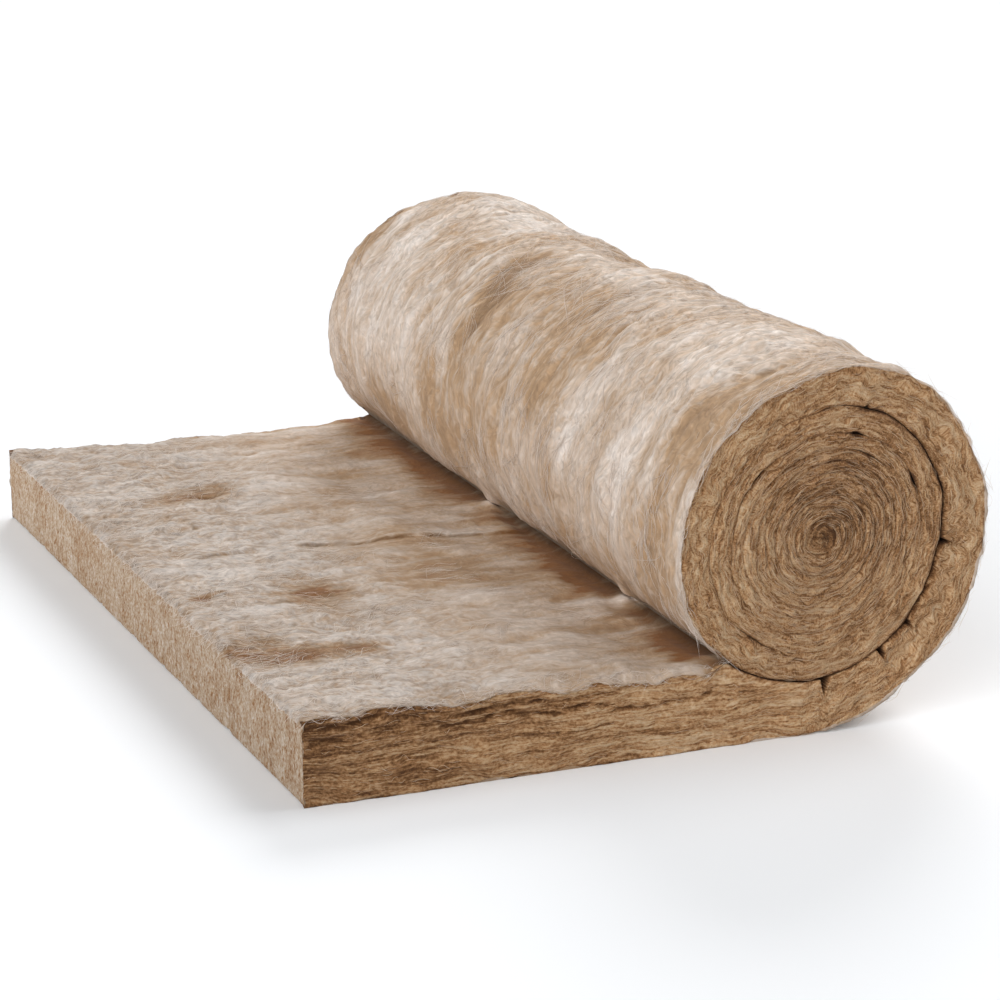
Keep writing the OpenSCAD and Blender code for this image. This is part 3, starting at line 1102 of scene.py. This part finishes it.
def seam_strength(q):
    """How open the seam is, q quarter turns on: widest under the roll, and nearly closed further in."""
    broken = np.clip(0.5 + 0.9 * noise(q * 2.3, q * 0 + 6.5, 76), 0, 1)
    outer = 1 - ease((q - 5.2) / 1.3)
    pocket = sum(amount * np.exp(-(((q - place) / half) ** 2)) for place, half, amount in POCKETS)
    opened = 0.03 * broken + 0.75 * outer * (0.55 + 0.45 * broken) + pocket
    return np.where(q < SEAM_START, 0.0, np.minimum(opened, 1.0))


def rim_relief(winding, sizes, q, x, far, inset):
    """Relief of the skin near a rim, on the roll and on the tail's top, as far as the fade at the nip."""
    y = (1.0 if far else -1.0) * (sizes.width / 2 - inset)
    q_nip = nip_turn(winding, sizes)
    place, _ = around(winding, q)
    nip, _ = around(winding, np.array([q_nip]))
    roll = roll_relief(q, wound_length(winding, q), y + 0 * q) * ease(q / LIFT_TURN)
    roll = roll * ease(np.hypot(*(place - nip).T) / NIP_FADE)
    tail = tail_relief(x, y + 0 * x) * ease((nip[0][0] - x) / NIP_FADE)
    return np.where((q >= 0) & (q <= q_nip), roll, 0.0), np.where(q < 0, tail, 0.0)


def triangle_wave(t):
    """A zigzag of period 1 from -1 to 1."""
    return 4 * np.abs(t - np.floor(t + 0.5)) - 1


def creases(winding, sizes, q):
    """How far the outer turn's creases run out from its inner boundary, q quarter turns on: triangles."""
    total = np.zeros_like(q)
    for place, share in CREASES:
        off = np.abs(q - place) * winding.radii[0] * QUARTER
        slope = np.clip(1 - off / (0.8 * sizes.crease_width * share), 0, 1)
        total = np.maximum(total, sizes.crease_height * share * slope)
    return total


def crevices(length, depth, seed):
    """Clefts in the tail's side, a little below its top, where the side is cut in and darkened with painted
    shade: thin wavy lines that come and go along it.
    """
    total = 0.0
    for row, (level, reach) in enumerate(((0.010, 0.25), (0.026, -0.15))):
        line = level + 0.006 * layered(length * 8, length * 0 + row + 0.5, seed + 15)
        shown = ease(reach + 0.5 + 1.5 * noise(length * 6, length * 0 + row + 4.5, seed + 17))
        total = total + shown * np.exp(-(((depth - line) / 0.0020) ** 2))
    return np.clip(total, 0, 1)


def side_bounds(winding, sizes, path, thick, far):
    """How far across the mat a cut side's front runs, from low to high, and the same for its back. The front
    ends at the skin's rim, at a seam or at a crease. The back stays below the skin's lowest relief."""
    under_skin = 0.0045
    rims = []
    for inset in np.linspace(0.001, sizes.side_depth + 0.002, 8):
        rims.append(rim_relief(winding, sizes, np.maximum(path.turn, -1), path.outer[:, 0], far, inset))
    roll_rims = np.array([rim[0] for rim in rims])
    tail_rims = np.array([rim[1] for rim in rims])
    on_tail = path.inner_turn < 0
    tail_rim = tail_rims[0] if far else tail_rims[0] - overhang(path.outer[:, 0])
    free_low = 0.0004 - roll_rims[0]
    free_high = 0.0004 - tail_rim
    low = np.where(path.turn < SEAM_START, free_low, 0.0012 * seam_strength(path.turn))
    high = thick - np.where(on_tail, free_high, 0.0012 * seam_strength(path.inner_turn))
    high = np.maximum(high - creases(winding, sizes, path.turn), low + 0.3 * thick)
    back_low = np.maximum(low, under_skin - roll_rims.min(0))
    back_high = np.minimum(high, thick - under_skin + np.where(on_tail, tail_rims.min(0), 0.0))
    return low, high, back_low, back_high


def strata_wave(path, s, offset, thick, wound, seed):
    """How far strata stray across the mat: broad waves, zigzag folds on two stretches, and small waves."""
    q = path.turn
    length = path.length
    packed = 0.35 + 0.65 * np.minimum(1.0, thick / 0.07)[:, None]
    fold_place = np.exp(-(((q - 0.8) / 0.7) ** 2)) + 0.9 * np.exp(-(((q - 3.1) / 0.4) ** 2))
    fold_place = fold_place * (0.35 + 0.65 * ease(0.5 + 1.2 * noise(length * 7, length * 0 + 1.5, seed + 21)))
    folded = fold_place[:, None] * ease((offset / thick[:, None] - 0.10) / 0.4)
    zigzag = triangle_wave(length[:, None] / 0.024 + 1.6 * noise(s * 6, offset * 16, seed))
    wave = packed * (0.009 * layered(s * 7, offset * 16, seed + 1) + 0.0040 * folded * zigzag)
    return wave + (0.0016 + 0.0026 * wound) * layered(s * 20, offset * 40, seed + 2, 2)


def side_grid(winding, sizes, fluff, far):
    """A cut side as a grid: the mat's edge, across its thickness, carried along the winding. Strata of fibres
    run along it, the edges round off into the seams, and four columns close it behind."""
    path = side_path(winding, sizes, fluff.side_step, far)
    q = path.turn
    seed = 200 if far else 100
    across = path.inner - path.outer
    thick = np.maximum(np.hypot(across[:, 0], across[:, 1]), 1e-6)
    way = across / thick[:, None]
    low, high, back_low, back_high = side_bounds(winding, sizes, path, thick, far)
    share = np.linspace(0, 1, fluff.side_rows + 1)
    share = 0.65 * share + 0.35 * (1 - np.cos(math.pi * share)) / 2
    offset = low[:, None] + share[None] * (high - low)[:, None]
    flat = path.outer[:, None] + way[:, None] * offset[..., None]
    s = np.where(path.length < 0, path.length, 2.2 * path.length)[:, None]
    wound = ease(q / 0.6)[:, None]
    wave = strata_wave(path, s, offset, thick, wound, seed)
    v = offset + wave

    lines = ridged(s * 12, v * 130, seed + 3, 2)
    coarse = layered(s * 5, v * 50, seed + 5, 2)
    tufts = layered(s * 80, v * 240, seed + 7, 2)
    lumps = layered(s * 16, offset * 22, seed + 9, 2)
    relief = 0.0016 * lines + 0.0022 * coarse + 0.0011 * tufts + 0.0018 * lumps
    shift = 0.0014 * noise(q * 0.9, q * 0 + 0.5, seed + 11) * ease((q - 2) / 3)
    to_low = offset - low[:, None]
    to_high = high[:, None] - offset
    seam = np.where(to_low < to_high, seam_strength(q)[:, None], seam_strength(path.inner_turn)[:, None])
    wide = np.minimum(0.0026 + 0.0014 * wound, 0.22 * thick[:, None])
    rounding = 1 - ease(np.minimum(to_low, to_high) / wide)
    crevice = crevices(s, to_high + wave, seed) * (path.inner_turn < 0)[:, None]
    relief = (relief + shift[:, None]) * (1 - 0.9 * wound * rounding)
    relief = relief - (0.0001 + 0.0050 * seam) * rounding - 0.006 * crevice
    # Painted shade in the seams between turns and in the clefts, which the side material darkens by
    groove = np.clip(rounding * seam + crevice, 0, 1)

    side = 1.0 if far else -1.0
    half = sizes.width / 2
    front_y = side * (half - 0.0015 + np.clip(relief, -0.02, 0.0075))
    deep = side * (half - sizes.side_depth)
    middle = side * (half - 0.014)
    inmost = path.outer[0, 0] + (sizes.cut_skew * sizes.side_depth / sizes.width if far else 0.0) + 0.001
    columns = []
    for reach, y in ((back_high, middle), (back_high, deep), (back_low, deep), (back_low, middle)):
        back = path.outer + way * reach[:, None]
        columns.append(np.stack([np.maximum(back[:, 0], inmost), np.full(len(q), y), back[:, 1]], -1))
    front = np.stack([flat[..., 0], front_y, flat[..., 1]], -1)
    place = np.concatenate([front, np.stack(columns, 1)], 1)

    tint, dust = side_tint(flat, q, path.length, winding)
    # Painted shade at the edges of each turn on the roll's end, where it meets the next turn
    painted_turn_edge_shade = (1 - np.sin(math.pi * share))[None] ** 2 * (0.5 + layered(s * 3, offset * 20, seed + 23))
    tint = tint - 0.26 * wound * painted_turn_edge_shade
    return Side(place, s[:, 0], v, tint, dust, groove, fluff.side_rows + 1)


def side_tint(flat, q, length, winding):
    """Tone of a cut side, about 0, and the share of its colour that it keeps: the roll's end darkens towards
    its core, most at the upper right, and the tail's side is darkest at the cut end, in painted shade."""
    middle = winding.centres[-1]
    away = flat - middle
    reach = np.hypot(away[..., 0], away[..., 1])
    leaning = (away[..., 0] + away[..., 1]) / (1.414 * np.maximum(reach, 0.004))
    inside = np.clip(1 - reach / 0.17, 0, 1)
    tint = -0.22 * leaning * np.sqrt(inside) - 0.34 * inside - 0.35 * np.exp(-((reach / 0.016) ** 2))
    on_tail = np.clip(-length / 0.59, 0, 1)[:, None]
    # Painted shade: the tail's side darkens towards the cut end, here and in the share of colour it keeps
    # below
    tint = np.where((q < 0)[:, None], 0.08 - 0.50 * on_tail**1.2, tint) + 0.02
    wound = ease(q / 1.2)[:, None]
    dust = np.where((q < 0)[:, None], 1 - 0.20 * on_tail, 1 - 0.09 * wound - 0.10 * inside)
    return tint, dust


def side_mesh(name, side, far, material):
    """A cut side as a closed mesh: its grid joined round, with a cap at each end."""
    count, columns = side.place.shape[:2]
    number = np.arange(count * columns).reshape(count, columns)
    ring = np.concatenate([number, number[:, :1]], 1)
    corners = ring[:-1, :-1], ring[1:, :-1], ring[1:, 1:], ring[:-1, 1:]
    quads = np.stack([corner.ravel() for corner in corners], -1)
    caps = [number[:1, :], number[-1:, ::-1]]
    if far:
        quads = quads[:, ::-1]
        caps = [cap[:, ::-1] for cap in caps]
    behind = columns - side.front
    across = np.concatenate([side.across, side.across[:, [-1, -1, 0, 0]]], 1)
    values = {
        "tint": np.pad(side.tint, ((0, 0), (0, behind)), mode="edge"),
        "dust": np.pad(side.dust, ((0, 0), (0, behind)), mode="edge"),
        "groove": np.concatenate([side.groove, np.ones((count, behind))], 1),
    }
    uv = np.stack([np.broadcast_to(side.length[:, None], across.shape), across], -1)
    corner_uv = uv.reshape(-1, 2)[np.concatenate([block.ravel() for block in [quads, *caps]])]
    return wool_object(name, side.place.reshape(-1, 3), [quads, *caps], [material], None, values, corner_uv)


class WOOL_OT_build_sides(Operator):
    """Builds the mat's two cut sides, wound up into the roll's ends"""

    bl_idname = "wool.build_sides"
    bl_label = "Build cut sides"

    def execute(self, context):
        scene = context.scene
        winding = wind(scene.wool_mat)
        material = named_material("Cut wool side", side_material, scene.wool_colours)
        for name, far in (("near_side", False), ("far_side", True)):
            side = side_grid(winding, scene.wool_mat, scene.wool_fluff, far)
            piece = side_mesh(name, side, far, material)
            settle(piece)
            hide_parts(NODE)
        return {"FINISHED"}


def unit(vectors):
    """Vectors scaled to length 1."""
    return vectors / np.maximum(np.linalg.norm(vectors, axis=-1, keepdims=True), 1e-9)


def outward(place, flip=1.0):
    """Unit directions that stand off a grid of points: the cross product of its two slopes."""
    along = np.gradient(place, axis=0)
    across = np.gradient(place, axis=1)
    return unit(flip * np.cross(across, along))


def sampled(grid, i, j):
    """Values of a grid at fractional rows and columns, blended from the four nearest."""
    i = np.clip(i, 0, grid.shape[0] - 1.001)
    j = np.clip(j, 0, grid.shape[1] - 1.001)
    a = np.floor(i).astype(int)
    b = np.floor(j).astype(int)
    u = (i - a)[..., None]
    v = (j - b)[..., None]
    near = grid[a, b] * (1 - u) + grid[a + 1, b] * u
    far = grid[a, b + 1] * (1 - u) + grid[a + 1, b + 1] * u
    return near * (1 - v) + far * v


def fibre_object(name, path, up, radius, shade, material):
    """Loose fibres as thin closed meshes: along each path a flat three-sided section that tapers to a point
    at both ends. path is fibres by rings by 3, and up, radius and shade have one entry a fibre."""
    count, rings = path.shape[:2]
    along = unit(np.gradient(path, axis=1))
    aside = unit(np.cross(along, up[:, None]))
    above = np.cross(aside, along)
    t = np.linspace(0, 1, rings)
    taper = np.sin(math.pi * t) ** 0.7
    turns = np.radians([90.0, 210.0, 330.0])
    size = (radius[:, None] * taper[None])[:, 1:-1, None, None]
    flatness = 0.6
    ring = np.cos(turns)[:, None] * aside[:, 1:-1, None]
    ring = ring + flatness * np.sin(turns)[:, None] * above[:, 1:-1, None]
    body = path[:, 1:-1, None] + size * ring
    points = np.concatenate([path[:, :1], body.reshape(count, -1, 3), path[:, -1:]], 1)
    each = points.shape[1]
    first = 1 + 3 * np.arange(rings - 3)[:, None]
    side = np.arange(3)[None]
    after = (side + 1) % 3
    quads = np.stack([first + side, first + after, first + 3 + after, first + 3 + side], -1).reshape(-1, 4)
    side, after = side[0], after[0]
    end = each - 1
    start_tips = np.stack([np.zeros(3, int), 1 + after, 1 + side], -1)
    end_tips = np.stack([np.full(3, end), end - 3 + side, end - 3 + after], -1)
    shift = (np.arange(count) * each)[:, None, None]
    quads = (quads[None] + shift).reshape(-1, 4)
    tips = (np.concatenate([start_tips, end_tips])[None] + shift).reshape(-1, 3)
    values = {"shade": np.repeat(shade, each)}
    return settle(wool_object(name, points.reshape(-1, 3), [quads, tips], [material], None, values))


def combed(rng, place, out, start_i, start_j, span, drift, lift, rings=6, loose=0.8):
    """Paths of fibres that lie along a grid's rows: each starts at a fractional row and column, runs on for
    span rows, drifts and curls across columns, and stands off the surface by about its lift."""
    count = len(start_i)
    t = np.linspace(0, 1, rings)[None]
    curl = rng.normal(0, 1, (count, 1)) * np.sin(math.pi * t * rng.uniform(0.6, 2.0, (count, 1)))
    i = start_i[:, None] + span[:, None] * t
    j = start_j[:, None] + drift[:, None] * t + 0.35 * np.abs(drift)[:, None] * curl + loose * curl
    stand = lift[:, None] * (0.25 + np.sin(math.pi * t) * rng.uniform(0.2, 1.0, (count, 1)))
    paths = sampled(place, i, j) + sampled(out, i, j) * stand[..., None]
    paths[..., 2] = np.maximum(paths[..., 2], FIBRE_FLOOR)
    up = sampled(out, start_i + span / 2, start_j)
    return paths, up


def wisps(rng, number, each, rows, columns, spread, crowd):
    """Starts and slopes of fibres that lie in wisps on a grid: each wisp has a place and a slope of its own,
    and its fibres spread about them. A crowd below 1 puts more of them on the later rows."""
    which = np.arange(number) // each
    count = which[-1] + 1
    row = rows[0] + (rows[1] - rows[0]) * rng.uniform(0, 1, count) ** crowd
    i = row[which] + rng.normal(0, 3.0, number)
    j = rng.uniform(*columns, count)[which] + rng.normal(0, 3.0, number)
    slope = rng.normal(0, spread, count)[which] + rng.normal(0, 0.35, number)
    return np.clip(i, *rows), np.clip(j, *columns), slope


def stray(rng, roots, heading, out, length, lean, droop, rings=6):
    """Paths of fibres that leave a surface: each heads along it, leans out by the square of the way, and
    droops."""
    count = len(roots)
    t = np.linspace(0, 1, rings)[None, :, None]
    aside = np.cross(heading, out)
    curl = rng.normal(0, 0.12, (count, 1, 1)) * np.sin(math.pi * t * rng.uniform(0.8, 2.2, (count, 1, 1)))
    reach = length[:, None, None]
    paths = roots[:, None] + reach * (t * heading[:, None] + lean[:, None, None] * t * t * out[:, None])
    paths = paths + reach * curl * aside[:, None]
    paths[..., 2] -= droop[:, None] * t[..., 0] ** 2
    paths[..., 2] = np.maximum(paths[..., 2], FIBRE_FLOOR)
    return paths


class WOOL_OT_lay_fluff(Operator):
    """Lays wisps of loose fibres on the roll's face and on the tail's top"""

    bl_idname = "wool.lay_fluff"
    bl_label = "Lay fluff"

    def execute(self, context):
        scene = context.scene
        fluff = scene.wool_fluff
        colours = scene.wool_colours
        rng = np.random.default_rng(7)
        skin, _ = full_skin(scene)
        out = outward(skin.place)
        pale = named_material("Loose pale fibre", fibre_material, colours.cream, colours.tan)
        roll = np.flatnonzero(skin.region == ROLL_FACE)
        tail = np.flatnonzero(skin.region <= TOP_EDGE)
        clear = 8
        in_a_wisp = 14
        spread = 0.45
        columns = (1, skin.place.shape[1] - 2)
        for name, rows, number, crowd, size, thick in (
            ("roll_fluff", (roll[0], roll[-1] - clear), fluff.roll_fibres, 1.0, 0.056, 0.00038),
            ("tail_fluff", (tail[0] + clear, tail[-1]), fluff.tail_fibres, 0.5, 0.022, 0.00032),
        ):
            starts = (rows[0], rows[1] - 4)
            start_i, start_j, slope = wisps(rng, number, in_a_wisp, starts, columns, spread, crowd)
            span = np.clip(rng.lognormal(math.log(size), 0.45, number), 0.008, 0.10) / fluff.skin_step
            span = np.minimum(span, rows[1] - start_i)
            lift = rng.exponential(0.0011, number) + 0.0002
            paths, up = combed(rng, skin.place, out, start_i, start_j, span, slope * span, lift, 8)
            radius = rng.uniform(0.00014, thick, number)
            fibre_object(name, paths, up, radius, rng.uniform(0.45, 1.0, number), pale)
        return {"FINISHED"}


def edge_roots(rng, skin, out, rows, columns, count):
    """Random places on some rows and columns of the skin, with the ways along the mat and out there."""
    i = rng.uniform(rows[0] + 1, rows[-1] - 1, count)
    j = rng.uniform(columns[0], columns[1], count)
    along = unit(sampled(skin.place, i + 1, j) - sampled(skin.place, i - 1, j))
    return sampled(skin.place, i, j), along, unit(sampled(out, i, j))


class WOOL_OT_lay_edge_fibres(Operator):
    """Lays stray fibres along the mat's edges and round the roll"""

    bl_idname = "wool.lay_edge_fibres"
    bl_label = "Lay edge fibres"

    def execute(self, context):
        scene = context.scene
        number = scene.wool_fluff.edge_fibres
        colours = scene.wool_colours
        rng = np.random.default_rng(21)
        skin, _ = full_skin(scene)
        out = outward(skin.place)
        pale = named_material("Loose pale fibre", fibre_material, colours.cream, colours.tan)
        last = skin.place.shape[1] - 1
        tail = np.flatnonzero(skin.region == TAIL_TOP)
        top_edge = np.flatnonzero(skin.region == TOP_EDGE)
        roll = np.flatnonzero(skin.region == ROLL_FACE)
        near = np.array([0.0, -1.0, 0.0])
        groups = []

        count = number // 4
        roots, along, up = edge_roots(rng, skin, out, tail, (0, 3), count)
        heading = unit(along * rng.choice([-1, 1], (count, 1)) + near * rng.uniform(-0.1, 0.2, (count, 1)))
        length = np.clip(rng.lognormal(math.log(0.014), 0.4, count), 0.006, 0.035)
        droop = rng.exponential(0.0015, count)
        lean = rng.uniform(0, 0.12, count)
        groups.append((stray(rng, roots, heading, unit(up + near), length, lean, droop), up))

        count = number // 4
        roots, along, up = edge_roots(rng, skin, out, roll, (0, 4), count)
        heading = unit(along * rng.choice([-1, 1], (count, 1)) + near * rng.uniform(0.0, 0.25, (count, 1)))
        length = np.clip(rng.lognormal(math.log(0.020), 0.5, count), 0.006, 0.06)
        lean = rng.uniform(-0.1, 0.2, count)
        groups.append((stray(rng, roots, heading, up, length, lean, rng.exponential(0.001, count)), up))

        count = number // 4
        roots, along, up = edge_roots(rng, skin, out, roll, (2, last - 2), count)
        heading = unit(along * rng.choice([-1, 1], (count, 1)) + near * rng.normal(0.0, 0.2, (count, 1)))
        length = np.clip(rng.lognormal(math.log(0.014), 0.4, count), 0.006, 0.03)
        groups.append((stray(rng, roots, heading, up, length, rng.uniform(0.0, 0.3, count), 0 * length), up))

        count = number // 6
        roots, along, up = edge_roots(rng, skin, out, top_edge, (0, last), count)
        heading = unit(along + 0.6 * near * rng.normal(0.0, 1.0, (count, 1)))
        length = np.clip(rng.lognormal(math.log(0.012), 0.4, count), 0.005, 0.03)
        droop = rng.exponential(0.002, count)
        groups.append((stray(rng, roots, heading, up, length, rng.uniform(0, 0.3, count), droop), up))

        paths = np.concatenate([group[0] for group in groups])
        ups = np.concatenate([group[1] for group in groups])
        total = len(paths)
        radius = rng.uniform(0.00015, 0.00038, total)
        fibre_object("edge_fibres", paths, ups, radius, rng.uniform(0.3, 1.0, total), pale)
        return {"FINISHED"}


class WOOL_OT_lay_side_fibres(Operator):
    """Lays short loose fibres along the strata of the two cut sides"""

    bl_idname = "wool.lay_side_fibres"
    bl_label = "Lay side fibres"

    def execute(self, context):
        scene = context.scene
        fluff = scene.wool_fluff
        colours = scene.wool_colours
        straw = named_material("Loose cut fibre", fibre_material, colours.straw, colours.russet)
        winding = wind(scene.wool_mat)
        for name, far in (("near_side_fibres", False), ("far_side_fibres", True)):
            rng = np.random.default_rng(12 if far else 11)
            side = side_grid(winding, scene.wool_mat, fluff, far)
            place = side.place[:, : side.front]
            out = outward(place, 1.0 if far else -1.0)
            number = fluff.side_fibres
            span = np.clip(rng.lognormal(math.log(0.013), 0.4, number), 0.006, 0.03) / fluff.side_step
            start_i = rng.uniform(0, len(place) - 60, number)
            start_j = rng.uniform(2, side.front - 3, number)
            drift = rng.normal(0, 0.10, number) * span
            lift = rng.exponential(0.0006, number) + 0.0002
            paths, up = combed(rng, place, out, start_i, start_j, span, drift, lift, loose=0.2)
            radius = rng.uniform(0.00015, 0.00042, number)
            fibre_object(name, paths, up, radius, rng.uniform(0.1, 0.8, number), straw)
        return {"FINISHED"}


def floor_material():
    """Pale floor that keeps shadows, with a little light of its own in view, so that it reads as white."""
    material = bpy.data.materials.new("Pale floor")
    material.use_nodes = True
    tree = material.node_tree
    tree.nodes.clear()
    matte = new_node(tree, "ShaderNodeBsdfDiffuse", Color=(0.88, 0.895, 0.915, 1.0))
    glow = new_node(tree, "ShaderNodeEmission", Color=(1.0, 1.0, 1.0, 1.0))
    both = tree.nodes.new("ShaderNodeAddShader")
    result = tree.nodes.new("ShaderNodeOutputMaterial")
    seen = seen_rays(tree)
    strength = new_node(tree, "ShaderNodeMath", operation="MULTIPLY")
    tree.links.new(seen, strength.inputs[0])
    strength.inputs[1].default_value = bpy.context.scene.wool_stage.floor_lift
    tree.links.new(strength.outputs[0], glow.inputs["Strength"])
    tree.links.new(matte.outputs[0], both.inputs[0])
    tree.links.new(glow.outputs[0], both.inputs[1])
    tree.links.new(both.outputs[0], result.inputs["Surface"])
    return material


def seen_rays(tree):
    """A value socket that is 1 for rays from the eye, from gloss and through glass."""
    path = tree.nodes.new("ShaderNodeLightPath")
    rays = ("Is Camera Ray", "Is Glossy Ray", "Is Transmission Ray")
    total = sum_of(tree, *[(path.outputs[ray], 1.0) for ray in rays])
    limit = new_node(tree, "ShaderNodeMath", operation="MINIMUM")
    tree.links.new(total, limit.inputs[0])
    limit.inputs[1].default_value = 1.0
    return limit.outputs[0]


def sun_lamp(name, strength, toward, spread):
    """A soft lamp that shines along a direction."""
    data = bpy.data.lights.new(name, "SUN")
    data.energy = strength
    data.angle = math.radians(spread)
    lamp = bpy.data.objects.new(name, data)
    flat = math.hypot(toward[0], toward[1])
    lamp.rotation_euler = (math.atan2(flat, -toward[2]), 0.0, math.atan2(-toward[0], toward[1]))
    bpy.context.scene.collection.objects.link(lamp)
    return lamp


class WOOL_OT_set_stage(Operator):
    """Sets the floor, the soft light and the camera"""

    bl_idname = "wool.set_stage"
    bl_label = "Set stage"

    def execute(self, context):
        scene = context.scene
        stage = scene.wool_stage
        mesh = bpy.data.meshes.new("floor")
        reach = 30.0
        corners = [(-reach, -reach, 0), (reach, -reach, 0), (reach, reach, 0), (-reach, reach, 0)]
        mesh.from_pydata(corners, [], [(0, 1, 2, 3)])
        mesh.materials.append(floor_material())
        floor = bpy.data.objects.new("floor", mesh)
        scene.collection.objects.link(floor)

        sun_lamp("top_lamp", stage.top, (-0.80, -0.10, -1.00), 40.0)
        sun_lamp("back_lamp", stage.back, (-0.45, -0.75, -0.47), 25.0)
        sun_lamp("fill_lamp", stage.fill, (0.78, 0.50, -0.48), 60.0)

        world = bpy.data.worlds.new("Even light")
        scene.world = world
        world.use_nodes = True
        tree = world.node_tree
        background = tree.nodes["Background"]
        background.inputs["Color"].default_value = (1.0, 1.0, 1.0, 1.0)
        strength = new_node(tree, "ShaderNodeMapRange", To_Min=stage.sky, To_Max=1.0)
        tree.links.new(seen_rays(tree), strength.inputs["Value"])
        tree.links.new(strength.outputs[0], background.inputs["Strength"])

        scene.view_settings.view_transform = "Standard"
        data = bpy.data.cameras.new("camera")
        data.lens = stage.lens
        data.sensor_width = 36.0
        camera = bpy.data.objects.new("camera", data)
        camera.location = CAMERA_PLACE
        pitch = math.radians(CAMERA_DOWN)
        yaw = math.radians(CAMERA_RIGHT)
        camera.rotation_euler = (math.pi / 2 - pitch, 0.0, -yaw)
        scene.collection.objects.link(camera)
        scene.camera = camera
        return {"FINISHED"}


class WOOL_PT_roll(Panel):
    """Sidebar panel with the roll's settings and its build steps"""

    bl_label = "Wool roll"
    bl_idname = "WOOL_PT_roll"
    bl_space_type = "VIEW_3D"
    bl_region_type = "UI"
    bl_category = "Wool roll"

    def draw(self, context):
        for group in SETTINGS:
            box = self.layout.box()
            settings = getattr(context.scene, group)
            for key in settings.bl_rna.properties.keys():
                if key not in ("rna_type", "name"):
                    box.prop(settings, key)
        for step in STEPS:
            self.layout.operator(step.bl_idname)


SETTINGS = {
    "wool_mat": MatSizes,
    "wool_colours": WoolColours,
    "wool_fluff": FluffAmounts,
    "wool_stage": StageLight,
}
STEPS = (
    WOOL_OT_set_stage,
    WOOL_OT_build_halves,
    WOOL_OT_build_sides,
    WOOL_OT_lay_fluff,
    WOOL_OT_lay_edge_fibres,
    WOOL_OT_lay_side_fibres,
)
CLASSES = (*SETTINGS.values(), *STEPS, WOOL_PT_roll)


def register():
    """Registers the classes and hangs the settings on the scene."""
    for cls in CLASSES:
        bpy.utils.register_class(cls)
    for name, group in SETTINGS.items():
        setattr(bpy.types.Scene, name, PointerProperty(type=group))


def unregister():
    """Takes the settings and the classes away again."""
    for name in SETTINGS:
        delattr(bpy.types.Scene, name)
    for cls in reversed(CLASSES):
        bpy.utils.unregister_class(cls)


def main():
    """Registers the add-on and runs its steps in order."""
    register()
    bpy.ops.wool.set_stage()
    bpy.ops.wool.build_halves()
    bpy.ops.wool.build_sides()
    bpy.ops.wool.lay_fluff()
    bpy.ops.wool.lay_edge_fibres()
    bpy.ops.wool.lay_side_fibres()


if __name__ == "__main__":
    main()
